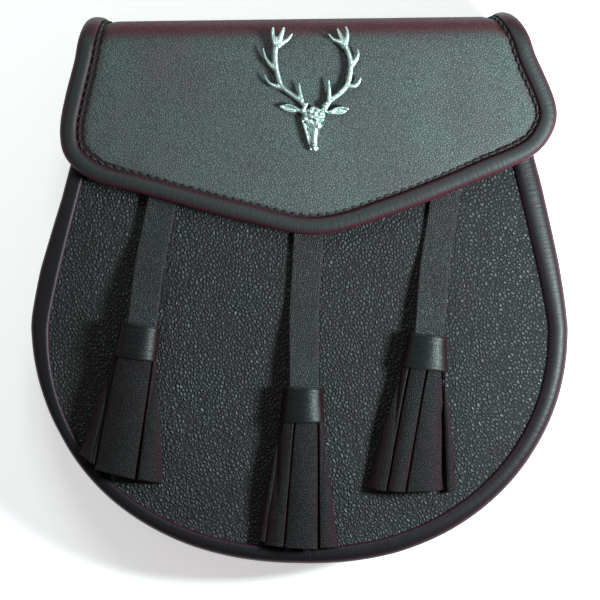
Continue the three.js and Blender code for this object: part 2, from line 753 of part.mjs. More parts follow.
// The belt loop: flanges sewn to the back panel, and a band that leaves a tunnel for a belt.
function beltLoop() {
  const halfTunnel = LOOP.tunnelHeight / 2;
  const halfAll = halfTunnel + LOOP.slope + LOOP.flange;
  const seats = [-1, 0, 1].flatMap((side) =>
    [-1, 1].map((end) => backPanelZ((side * LOOP.length) / 2, LOOP.centreY + end * halfAll)),
  );
  const seat = Math.min(...seats) - PANEL_THICK / 2 - GAP;
  const inner = LOOP_ABOVE_FLOOR + LOOP_THICK;
  const shape = new THREE.Shape([
    new THREE.Vector2(-halfAll, seat),
    new THREE.Vector2(-halfTunnel - LOOP.slope + LOOP_THICK / 2, seat),
    new THREE.Vector2(-halfTunnel, inner),
    new THREE.Vector2(halfTunnel, inner),
    new THREE.Vector2(halfTunnel + LOOP.slope - LOOP_THICK / 2, seat),
    new THREE.Vector2(halfAll, seat),
    new THREE.Vector2(halfAll, seat - LOOP_THICK),
    new THREE.Vector2(halfTunnel + LOOP.slope, seat - LOOP_THICK),
    new THREE.Vector2(halfTunnel + LOOP_THICK / 2, LOOP_ABOVE_FLOOR),
    new THREE.Vector2(-halfTunnel - LOOP_THICK / 2, LOOP_ABOVE_FLOOR),
    new THREE.Vector2(-halfTunnel - LOOP.slope, seat - LOOP_THICK),
    new THREE.Vector2(-halfAll, seat - LOOP_THICK),
  ]);
  const band = new THREE.ExtrudeGeometry(shape, { depth: LOOP.length, bevelEnabled: false });
  band.translate(0, 0, -LOOP.length / 2);
  const standing = new THREE.Matrix4().makeBasis(
    new THREE.Vector3(0, 1, 0),
    new THREE.Vector3(0, 0, 1),
    new THREE.Vector3(1, 0, 0),
  );
  return band.applyMatrix4(standing).translate(0, LOOP.centreY, 0);
}

// The press stud: one plain disc between the front panel and the flap, above the flap's point.
function pressStud() {
  const point = flapEdge.getPointAt(pointShare);
  const y = point.y + STUD.upFromPoint;
  const bottom = restHeight(point.x, y) + GAP;
  const top = flapZ(Math.abs(point.x) + STUD.radius) - PANEL_THICK / 2 - GAP;
  const disc = new THREE.CylinderGeometry(STUD.radius, STUD.radius, top - bottom, 16);
  return disc.rotateX(Math.PI / 2).translate(point.x, y, (top + bottom) / 2);
}

// Stag badge

// A place on the badge from its shares, at a height above its back.
function badgePlace([right, up], height) {
  return new THREE.Vector3(right * BADGE.halfWidth, up * BADGE.halfHeight, height);
}

// A round rod that tapers between radii given as a function of the share along it.
function taperedRod(points, steps, radiusAt) {
  const curve = new THREE.CatmullRomCurve3(points, false, "centripetal");
  const path = curve.getSpacedPoints(steps);
  return sweep(ovalSection(1, 1, 2, ANTLER_SIDES), framesAlong(path, path.map(faceUp)), radiusAt, radiusAt);
}

// One ear: a flat leaf, widest beyond its middle.
function ear({ root, tip }) {
  const lift = BADGE.beam;
  const path = new THREE.LineCurve3(badgePlace(root, lift), badgePlace(tip, 1.4 * lift)).getPoints(4);
  const leaf = (share) => BADGE.ear * (0.23 + 0.77 * Math.sin(Math.PI * Math.min(share * 0.8 + 0.15, 0.96)));
  return sweep(ovalSection(1, 0.5, 2, 8), framesAlong(path, path.map(faceUp)), leaf);
}

// The head: sections from the crown to the nose, resting on the back of the badge.
function stagHead() {
  const path = HEAD_SECTIONS.map(({ right, up }) => badgePlace([right, up], 0));
  const frames = framesAlong(path, path.map(faceUp));
  const sides = 10;
  const points = frames.flatMap(({ point, out, up }, k) => {
    const { half, rise: height } = HEAD_SECTIONS[k];
    return Array.from({ length: sides }, (_, i) => {
      const turn = (Math.PI * i) / (sides - 1);
      const corner = ovalPoint(half * BADGE.halfWidth, height * BADGE.halfWidth, 2.3, turn);
      return point.clone().addScaledVector(out, corner.x).addScaledVector(up, corner.y);
    });
  });
  const faces = [];
  for (let k = 0; k + 1 < frames.length; k++) {
    for (let i = 0; i < sides; i++) {
      const next = (i + 1) % sides;
      faces.push(...quad(k * sides + i, (k + 1) * sides + i, (k + 1) * sides + next, k * sides + next));
    }
  }
  const last = (frames.length - 1) * sides;
  for (let i = 1; i + 1 < sides; i++) {
    faces.push([0, i, i + 1]);
    faces.push([last, last + i + 1, last + i]);
  }
  return solid(points, faces);
}

// The badge: antlers, ears and head cast in one piece, lying on the flap.
function stagBadge() {
  const lift = BADGE.beam;
  const rods = BEAMS.map(({ path }) =>
    taperedRod(
      path.map((place) => badgePlace(place, lift)),
      7,
      (share) => lerp(1.15, 0.95, share) * BADGE.beam,
    ),
  );
  for (const { from, via, tip } of TINES) {
    const points = [badgePlace(from, lift), badgePlace(via, 1.05 * lift), badgePlace(tip, 1.1 * lift)];
    rods.push(taperedRod(points, 3, (share) => lerp(BADGE.tine, BADGE.tip, share ** 1.5)));
  }
  const badge = fuse([stagHead(), ...EARS.map(ear), ...rods]);
  const y = foldBaseY + FLAP.foldReach - BADGE.belowFold;
  const z = flapZ(BADGE.centreX) + PANEL_THICK / 2 + GAP;
  badge.translate(BADGE.centreX, y, z + 0.25 * BADGE.beam);
  return badge;
}

// Materials

const leather = (color, roughness) => new THREE.MeshStandardMaterial({ color, roughness, metalness: 0 });
const pebbledLeather = leather(0x2b2e2e, 0.55);
const fineLeather = leather(0x3a4241, 0.6);
const smoothLeather = leather(0x26292a, 0.42);
const matteLeather = leather(0x242626, 0.7);
const castMetal = new THREE.MeshStandardMaterial({ color: 0xc9cfcd, roughness: 0.3, metalness: 1 });

// The whole sporran

const sporran = new THREE.Group();
sporran.name = "sporran_pouch";

// Adds a named piece to a group.
function addPiece(group, name, geometry, material) {
  const mesh = new THREE.Mesh(geometry, material.clone());
  mesh.name = name;
  group.add(mesh);
}

const body = new THREE.Group();
addPiece(body, "back_panel", panel(16, 14, backPanelZ), pebbledLeather);
addPiece(body, "front_panel", panel(16, 17, frontPanelZ), pebbledLeather);
addPiece(body, "gusset", gusset(), smoothLeather);
addPiece(body, "back_binding", seamRoll(backSeamZ), smoothLeather);
addPiece(body, "front_binding", seamRoll(frontSeamZ), smoothLeather);
addPiece(body, "belt_loop", beltLoop(), smoothLeather);
sporran.add(body);

const cover = new THREE.Group();
addPiece(cover, "flap", sheet(14, FOLD_ROWS + FRONT_ROWS, PANEL_THICK, flapSurface), fineLeather);
addPiece(cover, "flap_binding", flapRoll(), smoothLeather);
addPiece(cover, "press_stud", pressStud(), castMetal);
addPiece(cover, "stag_badge", stagBadge(), castMetal);
sporran.add(cover);

for (const shape of TASSELS) {
  const hanging = new THREE.Group();
  addPiece(hanging, `strap_${shape.name}`, strap(shape), matteLeather);
  addPiece(hanging, `cuff_${shape.name}`, cuff(shape), smoothLeather);
  addPiece(hanging, `tassel_${shape.name}`, tassel(shape), matteLeather);
  sporran.add(hanging);
}

// The origin lies under the middle of the whole, on the surface that carries it.
const extent = new THREE.Box3().setFromObject(sporran);
sporran.position.set(-(extent.min.x + extent.max.x) / 2, -(extent.min.y + extent.max.y) / 2, -extent.min.z);

export default sporran;
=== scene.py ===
"""A black leather day sporran, dressed for a studio picture.

The pouch has two panels, a folded gusset and two rolled bindings. Its flap turns over the mouth, has a
binding of its own sewn with black thread, and carries a cast stag's head. Three straps come out from
under the flap, and each carries a leather tassel in a cuff. Lengths are in the maker's millimetres,
measured as on the part itself: x to the right of the front, y up from the widest line of the body,
z out of the front. They become metres in the part's frame when a mesh is made.
"""

from __future__ import annotations

import logging
import math
from dataclasses import dataclass, field
from enum import Enum

import bpy
import numpy as np
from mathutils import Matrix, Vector


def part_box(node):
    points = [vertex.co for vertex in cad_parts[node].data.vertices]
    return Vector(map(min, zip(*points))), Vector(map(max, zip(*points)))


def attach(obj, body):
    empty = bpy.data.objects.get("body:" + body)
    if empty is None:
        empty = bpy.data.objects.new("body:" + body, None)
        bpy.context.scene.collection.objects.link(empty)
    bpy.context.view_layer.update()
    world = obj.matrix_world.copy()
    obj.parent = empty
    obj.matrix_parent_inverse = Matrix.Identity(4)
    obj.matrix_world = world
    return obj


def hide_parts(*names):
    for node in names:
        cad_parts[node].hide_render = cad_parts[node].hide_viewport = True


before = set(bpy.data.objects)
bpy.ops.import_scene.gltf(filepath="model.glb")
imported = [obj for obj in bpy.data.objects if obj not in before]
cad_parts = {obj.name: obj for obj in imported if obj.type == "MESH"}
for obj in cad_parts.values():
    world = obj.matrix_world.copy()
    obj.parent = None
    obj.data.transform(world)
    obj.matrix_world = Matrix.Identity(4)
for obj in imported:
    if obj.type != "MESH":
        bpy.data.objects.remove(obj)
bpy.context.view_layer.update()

METRES_PER_MM = 0.001
LOG = logging.getLogger("sporran")
UP = np.array([0.0, 0.0, 1.0])

# Driving sizes of the part in millimetres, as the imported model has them
GAP = 0.3
PANEL_THICK = 2.0
GUSSET_THICK = 1.6
LIP_THICK = 1.4
STRAP_THICK = 1.8
STRIP_THICK = 1.6
CUFF_WALL = 1.2
BELT_LOOP_CENTRE_Y = 32.0

# Squareness of a round rolled binding, and of one that is pressed flat
ROUND_ROLL = 2.25
PRESSED_ROLL = 3.4

# Of a rolled binding: how much its lips are rounded, and how far its slot goes past the leather's edge
LIP_ROUND = 0.35
LIP_STEP = 0.05
SLOT_PAST_EDGE = 0.6

# How far a sheet's worn edge thins, as a share of the way in, and where it looks wholly cut
THINNED = 0.985
WHOLLY_CUT = 0.9

Pair = tuple[float, float]
Triple = tuple[float, float, float]
Socket = bpy.types.NodeSocket


class Slot(Enum):
    """Names of material slots for the leathers and metals; no piece here reads them."""

    PEBBLED = "pebbled_leather"
    SMOOTH = "smooth_leather"
    BINDING = "binding_leather"
    FINE_GRAIN = "fine_grain_leather"
    STRAP = "strap_leather"
    CAST = "cast_metal"
    STUD = "stud_metal"


class Face(Enum):
    """The two panels of the pouch."""

    FRONT = "front"
    BACK = "back"


def frame_shift() -> np.ndarray:
    """How far the part's frame is from the maker's, read off the belt loop, whose place is known.

    Returns:
        The shift in millimetres as an array of three.
    """
    low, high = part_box("belt_loop")
    middle_y = (low.y + high.y) / 2 / METRES_PER_MM
    return np.array([0.0, middle_y - BELT_LOOP_CENTRE_Y, 0.0])


SHIFT = frame_shift()


def unit(vectors: np.ndarray) -> np.ndarray:
    """The vectors scaled to length one along their last axis."""
    return vectors / np.maximum(np.linalg.norm(vectors, axis=-1, keepdims=True), 1e-12)


def reach_of(points: np.ndarray) -> np.ndarray:
    """How far along its path each point is."""
    steps = np.linalg.norm(np.diff(points, axis=0), axis=1)
    return np.concatenate([[0.0], np.cumsum(steps)])


def edge_distance(rows: np.ndarray) -> np.ndarray:
    """How far each point of a grid is from the nearer end of its row, measured along the row.

    Args:
        rows: Grid of rows of points by three.

    Returns:
        One distance for each point.
    """
    steps = np.linalg.norm(np.diff(rows, axis=1), axis=2)
    reach = np.concatenate([np.zeros((len(rows), 1)), np.cumsum(steps, axis=1)], axis=1)
    return np.minimum(reach, reach[:, -1:] - reach)


def smooth_step(value: np.ndarray, low: float, high: float) -> np.ndarray:
    """Zero below low, one above high, and 3t squared less 2t cubed between them."""
    share = np.clip((value - low) / (high - low), 0.0, 1.0)
    return share * share * (3.0 - 2.0 * share)


def lerp(start: np.ndarray, end: np.ndarray, share: np.ndarray) -> np.ndarray:
    """The mix of two values at a share."""
    return start + (end - start) * share


def superellipse(across: float, up: float, squareness: float, turn: np.ndarray) -> np.ndarray:
    """Points of the curve |x/a|^n + |y/b|^n = 1 at the given turns.

    Args:
        across: Half axis a.
        up: Half axis b.
        squareness: Exponent n, 2 for an ellipse.
        turn: Turns in radians.

    Returns:
        An array with x and y in its last axis.
    """
    power = 2.0 / squareness
    x = across * np.sign(np.cos(turn)) * np.abs(np.cos(turn)) ** power
    y = up * np.sign(np.sin(turn)) * np.abs(np.sin(turn)) ** power
    return np.stack([x, y], axis=-1)


@dataclass(frozen=True)
class Ripple:
    """A soft unevenness: the mean of sine waves in random directions with random phases.

    Its values run from about -amount to amount, and its waves are about a wavelength long.
    """

    amount: float
    wavelength: float
    seed: int
    waves: int = 7

    def at(self, points: np.ndarray) -> np.ndarray:
        """The unevenness at places.

        Args:
            points: Places, with the coordinates in the last axis.

        Returns:
            One value for each place.
        """
        rng = np.random.default_rng(self.seed)
        directions = unit(rng.normal(size=(self.waves, points.shape[-1])))
        lengths = self.wavelength * rng.uniform(0.7, 1.5, self.waves)
        phases = rng.uniform(0.0, 2.0 * math.pi, self.waves)
        angles = points @ (directions * (2.0 * math.pi / lengths)[:, None]).T + phases
        return self.amount * np.sin(angles).sum(axis=-1) * (1.4 / self.waves)


@dataclass
class PlaneCurve:
    """A curve in the plane through close points, addressed by shares of its length."""

    points: np.ndarray
    lengths: np.ndarray = field(init=False)
    samples: int = 900
    batch: int = 4000
    normal_step: float = 2e-3

    def __post_init__(self) -> None:
        """Works out how far along the curve each point is."""
        self.lengths = reach_of(self.points)

    def at(self, share: np.ndarray) -> np.ndarray:
        """The points at shares of the length."""
        reach = np.asarray(share) * self.lengths[-1]
        return np.stack([np.interp(reach, self.lengths, self.points[:, i]) for i in (0, 1)], axis=-1)

    def inward(self, share: np.ndarray) -> np.ndarray:
        """The unit normals to the left of the way along the curve, which is inwards here.

        Args:
            share: Shares of the length.

        Returns:
            A unit vector for each share.
        """
        ahead = self.at(np.minimum(np.asarray(share) + self.normal_step, 1.0))
        behind = self.at(np.maximum(np.asarray(share) - self.normal_step, 0.0))
        tangent = unit(ahead - behind)
        return np.stack([-tangent[..., 1], tangent[..., 0]], axis=-1)

    def inset(self, share: np.ndarray, distance: np.ndarray) -> np.ndarray:
        """The points at shares of the length, moved inwards by a distance."""
        return self.at(share) + self.inward(share) * np.asarray(distance)[..., None]

    def distance(self, places: np.ndarray) -> np.ndarray:
        """How far each place is from the nearest of many points spread along the curve.

        Args:
            places: Places in the plane.

        Returns:
            One distance for each place.
        """
        line = self.at(np.linspace(0.0, 1.0, self.samples))
        flat = places.reshape(-1, 2)
        nearest = np.empty(len(flat))
        for part in np.array_split(np.arange(len(flat)), max(1, len(flat) // self.batch)):
            gaps = ((flat[part, None, :] - line[None, :, :]) ** 2).sum(axis=-1)
            nearest[part] = np.sqrt(gaps.min(axis=1))
        return nearest.reshape(places.shape[:-1])


def spline_through(knots: np.ndarray, steps: int = 40) -> np.ndarray:
    """Close points of a uniform Catmull-Rom spline through knots.

    Between two knots a point is half of (2b + (c-a)t + (2a-5b+4c-d)t^2 + (3b-a-3c+d)t^3), where a, b, c
    and d are the knot before, the two knots and the knot after.

    Args:
        knots: Knots as an array of n by any number of coordinates.
        steps: Points for each span between two knots.

    Returns:
        An array of (n - 1) * steps + 1 points.
    """
    padded = np.concatenate([knots[:1], knots, knots[-1:]])
    t = (np.arange(steps) / steps)[None, :, None]
    before, start, end, after = (padded[k : len(padded) - 3 + k, None, :] for k in range(4))
    first = (end - before) * t
    second = (2 * before - 5 * start + 4 * end - after) * t**2
    third = (3 * start - before - 3 * end + after) * t**3
    spans = 0.5 * (2 * start + first + second + third)
    return np.concatenate([spans.reshape(-1, knots.shape[1]), knots[-1:]])


def resample(points: np.ndarray, count: int) -> np.ndarray:
    """The same path with a number of evenly spaced points; further columns are carried along.

    Args:
        points: Array whose first three columns are the places of the path.
        count: Number of points wanted.

    Returns:
        An array with that many rows and the same columns.
    """
    reach = reach_of(points[:, :3])
    wanted = np.linspace(0.0, reach[-1], count)
    return np.stack([np.interp(wanted, reach, column) for column in points.T], axis=-1)


def settle(rows: np.ndarray, passes: int) -> np.ndarray:
    """The rows with each inner one moved to the mean of itself and its neighbours, several times.

    Args:
        rows: Points, or rows of points.
        passes: Number of passes.

    Returns:
        The eased rows, the first and the last of them unmoved.
    """
    eased = rows.copy()
    for _ in range(passes):
        eased[1:-1] = 0.25 * eased[:-2] + 0.5 * eased[1:-1] + 0.25 * eased[2:]
    return eased


@dataclass
class Surface:
    """A closed mesh in the maker's millimetres, with values at its points.

    The value named lie holds millimetres along and across the piece, for patterns that follow it.
    """

    points: np.ndarray
    quads: np.ndarray
    values: dict[str, np.ndarray] = field(default_factory=dict)

    def volume(self) -> float:
        """The signed volume inside the quads, each taken as two triangles.

        Returns:
            The volume, below zero where the faces are turned inwards.
        """
        a, b, c, d = (self.points[self.quads[:, k]] for k in range(4))
        first = np.einsum("ij,ij->i", a, np.cross(b, c))
        second = np.einsum("ij,ij->i", a, np.cross(c, d))
        return float((first + second).sum() / 6.0)

    def outward(self) -> Surface:
        """The surface with its faces turned outwards.

        Returns:
            The same surface.
        """
        if self.volume() < 0:
            self.quads = self.quads[:, ::-1]
        return self


def join(surfaces: list[Surface]) -> Surface:
    """Several surfaces as one mesh, with the values that all of them have.

    Args:
        surfaces: Surfaces to join.

    Returns:
        One surface.
    """
    starts = np.cumsum([0] + [len(part.points) for part in surfaces[:-1]])
    shared = set(surfaces[0].values).intersection(*(part.values for part in surfaces))
    return Surface(
        np.concatenate([part.points for part in surfaces]),
        np.concatenate([part.quads + start for part, start in zip(surfaces, starts)]),
        {name: np.concatenate([part.values[name] for part in surfaces]) for name in sorted(shared)},
    )


def grid_quads(rows: int, columns: int, wrap_rows: bool = False, wrap_columns: bool = False) -> np.ndarray:
    """Quads between the points of a grid, numbered row by row.

    Args:
        rows: Rows of points.
        columns: Points in a row.
        wrap_rows: Whether the last row is joined to the first.
        wrap_columns: Whether the last column is joined to the first.

    Returns:
        An array of quads as four point numbers.
    """
    row = np.arange(rows if wrap_rows else rows - 1)[:, None]
    column = np.arange(columns if wrap_columns else columns - 1)[None, :]
    next_row = (row + 1) % rows
    next_column = (column + 1) % columns
    corners = [
        row * columns + column,
        row * columns + next_column,
        next_row * columns + next_column,
        next_row * columns + column,
    ]
    return np.stack([corner.ravel() for corner in corners], axis=-1)


def lie_of(rings: np.ndarray) -> np.ndarray:
    """Millimetres along and around a stack of rings, for patterns that follow the piece.

    Args:
        rings: Array of rings by points by three.

    Returns:
        An array of three columns for all points, the last column zero.
    """
    along = reach_of(rings.mean(axis=1))
    steps = np.linalg.norm(np.diff(rings, axis=1), axis=2).mean(axis=0)
    around = np.concatenate([[0.0], np.cumsum(steps)])
    along_grid, around_grid = np.meshgrid(along, around, indexing="ij")
    flat = np.zeros(along_grid.size)
    return np.stack([along_grid.ravel(), around_grid.ravel(), flat], axis=-1)


def loft(rings: np.ndarray, closed_path: bool = False) -> Surface:
    """A closed body from a stack of closed rings, whose ends are filled by quads across the rings.

    A ring lists an upper row of points and then a lower row backwards, so point i lies opposite point
    n - 1 - i, and an end is filled by a strip of quads between the two rows.

    Args:
        rings: Array of rings by points by three.
        closed_path: Whether the last ring is joined to the first.

    Returns:
        The surface, facing outwards, with its lie.
    """
    count, sides, _ = rings.shape
    quads = [grid_quads(count, sides, wrap_rows=closed_path, wrap_columns=True)]
    if not closed_path:
        i = np.arange(sides // 2 - 1)
        opposite = sides - 1 - i
        first = np.stack([i + 1, i, opposite, opposite - 1], axis=-1)
        last = np.stack([i, i + 1, opposite - 1, opposite], axis=-1) + (count - 1) * sides
        quads += [first, last]
    lie = lie_of(rings)
    return Surface(rings.reshape(-1, 3), np.concatenate(quads), {"lie": lie}).outward()


def both_faces(upper: np.ndarray, lower: np.ndarray) -> np.ndarray:
    """Rings as loft takes them: the rows of the upper face, and those of the lower one backwards."""
    return np.concatenate([upper, lower[:, ::-1]], axis=1)


def two_rows(gap: float, count: int) -> np.ndarray:
    """Turns of a round ring as loft takes it: an upper row to the right and a lower one back.

    Args:
        gap: Turn left free between the rows at each side.
        count: Points in a row.

    Returns:
        Twice that many turns in radians.
    """
    upper = np.linspace(math.pi - gap, gap, count)
    return np.concatenate([upper, -upper[::-1]])


def turned(places: np.ndarray, degrees: float) -> np.ndarray:
    """Places turned in the plane by an angle, with their third coordinate kept.

    Args:
        places: Places, with three coordinates in the last axis.
        degrees: Angle, counter-clockwise.

    Returns:
        The turned places.
    """
    angle = math.radians(degrees)
    x = places[..., 0] * math.cos(angle) - places[..., 1] * math.sin(angle)
    y = places[..., 0] * math.sin(angle) + places[..., 1] * math.cos(angle)
    return np.stack([x, y, places[..., 2]], axis=-1)


def grid_normals(middle: np.ndarray) -> np.ndarray:
    """Unit normals of a grid of points, from its differences along rows and columns."""
    return unit(np.cross(np.gradient(middle, axis=1), np.gradient(middle, axis=0)))


def slab(middle: np.ndarray, thickness: float, radius: float) -> Surface:
    """A sheet of leather about a grid, cut straight at its ends and rounded along its long edges.

    At a distance d from a long edge the half thickness is t/2 * sqrt(1 - (1 - d/r)^2), and t/2 past r.

    Args:
        middle: Grid of rows along the piece by points across it by three.
        thickness: Thickness t of the leather.
        radius: Radius r of the worn long edges.

    Returns:
        The surface, with its lie and a value named edge that is one on the cut edges.
    """
    inner = np.clip(1.0 - edge_distance(middle) / radius, 0.0, THINNED)
    offset = grid_normals(middle) * ((thickness / 2) * np.sqrt(1.0 - inner**2))[..., None]
    surface = loft(both_faces(middle + offset, middle - offset))
    edge = smooth_step(inner, 0.0, WHOLLY_CUT)
    rows = both_faces(edge, edge)
    rows[-1] = 1.0
    surface.values["edge"] = rows.ravel()
    return surface


def crowded(count: int) -> np.ndarray:
    """Shares from 0 to 1, crowded towards both ends as a cosine is."""
    return 0.5 - 0.5 * np.cos(np.linspace(0.0, math.pi, count))


def carry(section: np.ndarray, path: np.ndarray, normals: np.ndarray) -> np.ndarray:
    """Rings of a section carried along a path.

    The section's x goes out, which is the tangent crossed with the normal, and its y goes up, at right
    angles to both.

    Args:
        section: Points by two, or one such section for each point of the path.
        path: Path by three.
        normals: Normal of the surface at each point of the path.

    Returns:
        An array of rings.
    """
    tangent = unit(np.gradient(path, axis=0))
    out = unit(np.cross(tangent, normals))
    up = np.cross(out, tangent)
    sections = np.broadcast_to(section, (len(path),) + section.shape[-2:])
    sideways = sections[..., 0, None] * out[:, None, :]
    return path[:, None, :] + sideways + sections[..., 1, None] * up[:, None, :]


def stitch_rings(length: float, radius: float, rise: float, stations: int, turn: np.ndarray) -> np.ndarray:
    """A stitch: a round thread that is narrowed at its ends and bent up or down in its middle.

    At a share s of its length from its middle its radius is r * sqrt(1 - (1.9 s)^4), and its middle
    line is raised by h * cos(pi s).

    Args:
        length: Length along x.
        radius: Radius r.
        rise: Height h of the bend.
        stations: Number of rings.
        turn: Turns of a ring.

    Returns:
        An array of rings with x along the stitch, y across it and z up.
    """
    s = np.linspace(-0.5, 0.5, stations)[:, None]
    width = radius * np.sqrt(np.maximum(1.0 - (1.9 * s) ** 4, 0.05))
    up = width * np.sin(turn) + rise * np.cos(math.pi * s)
    return np.stack([length * s + 0 * turn, width * np.cos(turn), up], axis=-1)


def make_piece(name: str, surface: Surface, material: bpy.types.Material,
               replaces: tuple[str, ...] = ()) -> None:
    """Makes a mesh object of a surface, in metres in the part's frame, and ties it to the part.

    Args:
        name: Name of the piece.
        surface: Its mesh in the maker's millimetres.
        material: Its finish.
        replaces: Nodes that the piece stands for.
    """
    mesh = bpy.data.meshes.new(name)
    places = (surface.points + SHIFT) * METRES_PER_MM
    mesh.from_pydata(places.tolist(), [], surface.quads.tolist())
    mesh.polygons.foreach_set("use_smooth", np.ones(len(mesh.polygons), dtype=bool))
    for value_name, values in surface.values.items():
        kind = "FLOAT_VECTOR" if values.ndim == 2 else "FLOAT"
        attribute = mesh.attributes.new(value_name, kind, "POINT")
        key = "vector" if values.ndim == 2 else "value"
        attribute.data.foreach_set(key, np.ravel(values).astype(np.float32))
    mesh.materials.append(material)
    mesh.update()
    piece = bpy.data.objects.new(name, mesh)
    bpy.context.scene.collection.objects.link(piece)
    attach(piece, "root")
    if replaces:
        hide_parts(*replaces)
    LOG.info("%s: %d points, %d faces", name, len(mesh.vertices), len(mesh.polygons))


class NodeSketch:
    """Adds nodes to a material and links them, so that a finish reads as a recipe."""

    def __init__(self, name: str) -> None:
        """Makes a material with an empty Principled surface.

        Args:
            name: Name of the material.
        """
        self.material = bpy.data.materials.new(name)
        self.material.use_nodes = True
        self.tree = self.material.node_tree
        self.shader = self.tree.nodes["Principled BSDF"]

    def feed(self, target: Socket, value: object) -> None:
        """Links an input to its source, or sets it to a number, a vector or a colour.

        Args:
            target: Input of a node.
            value: Output of a node or plain value; a colour gets its fourth number here.
        """
        if isinstance(value, Socket):
            self.tree.links.new(value, target)
        elif isinstance(value, tuple) and len(value) < len(target.default_value):
            target.default_value = (*value, 1.0)
        else:
            target.default_value = value

    def add(self, kind: str, **settings: object) -> bpy.types.Node:
        """Adds a node and sets its properties, or feeds its inputs where a name is an input's.

        Args:
            kind: Type of the node, such as ShaderNodeTexNoise.
            settings: Properties and inputs, with _ for a space.

        Returns:
            The node.
        """
        node = self.tree.nodes.new(kind)
        for name, value in settings.items():
            if hasattr(node, name):
                setattr(node, name, value)
            else:
                self.feed(node.inputs[name.replace("_", " ")], value)
        return node

    def shade(self, **inputs: object) -> bpy.types.Material:
        """Feeds inputs of the Principled surface, which ends the recipe.

        Args:
            inputs: Sockets or values by the names of the inputs, with _ for a space.

        Returns:
            The finished material.
        """
        for name, value in inputs.items():
            self.feed(self.shader.inputs[name.replace("_", " ")], value)
        return self.material

    def place(self) -> Socket:
        """The place on the object, in metres."""
        return self.add("ShaderNodeTexCoord").outputs["Object"]

    def attribute(self, name: str, output: str = "Fac") -> Socket:
        """A value of the mesh, read by an Attribute node."""
        return self.add("ShaderNodeAttribute", attribute_name=name).outputs[output]

    def math(self, operation: str, first: object, second: object, kind: str = "ShaderNodeMath") -> Socket:
        """The result of a Math node, or of a Vector Math node, on two sockets or plain values.

        Args:
            operation: Operation of the node.
            first: First operand.
            second: Second operand.
            kind: Type of the node.

        Returns:
            The output socket.
        """
        node = self.add(kind, operation=operation)
        for socket, operand in zip(node.inputs, (first, second)):
            self.feed(socket, operand)
        return node.outputs[0]

    def spread(self, source: Socket, low: float, high: float, to_low: float = 0.0,
               to_high: float = 1.0) -> Socket:
        """A Map Range of a value, clamped.

        Args:
            source: Value to map.
            low: Value that becomes to_low.
            high: Value that becomes to_high.
            to_low: Lower result.
            to_high: Upper result.

        Returns:
            The output socket.
        """
        node = self.add("ShaderNodeMapRange", Value=source, From_Min=low, From_Max=high,
                        To_Min=to_low, To_Max=to_high)
        return node.outputs[0]

    def blend(self, share: Socket, low: object, high: object) -> Socket:
        """A mix of two colours, each a socket or a plain colour.

        Args:
            share: Share of the second colour.
            low: First colour.
            high: Second colour.

        Returns:
            The output socket.
        """
        node = self.add("ShaderNodeMix", data_type="RGBA")
        sockets = (node.inputs[0], node.inputs[6], node.inputs[7])
        for socket, value in zip(sockets, (share, low, high)):
            self.feed(socket, value)
        return node.outputs[2]

    def bump(self, height: Socket, depth: float, under: Socket | None = None) -> Socket:
        """A Bump node of a height from 0 to 1, on top of another bump.

        Args:
            height: Height.
            depth: Height of one in millimetres.
            under: Normal that it starts from.

        Returns:
            The normal's socket.
        """
        node = self.add("ShaderNodeBump", Strength=1.0, Distance=depth * METRES_PER_MM, Height=height)
        if under is not None:
            self.feed(node.inputs["Normal"], under)
        return node.outputs["Normal"]


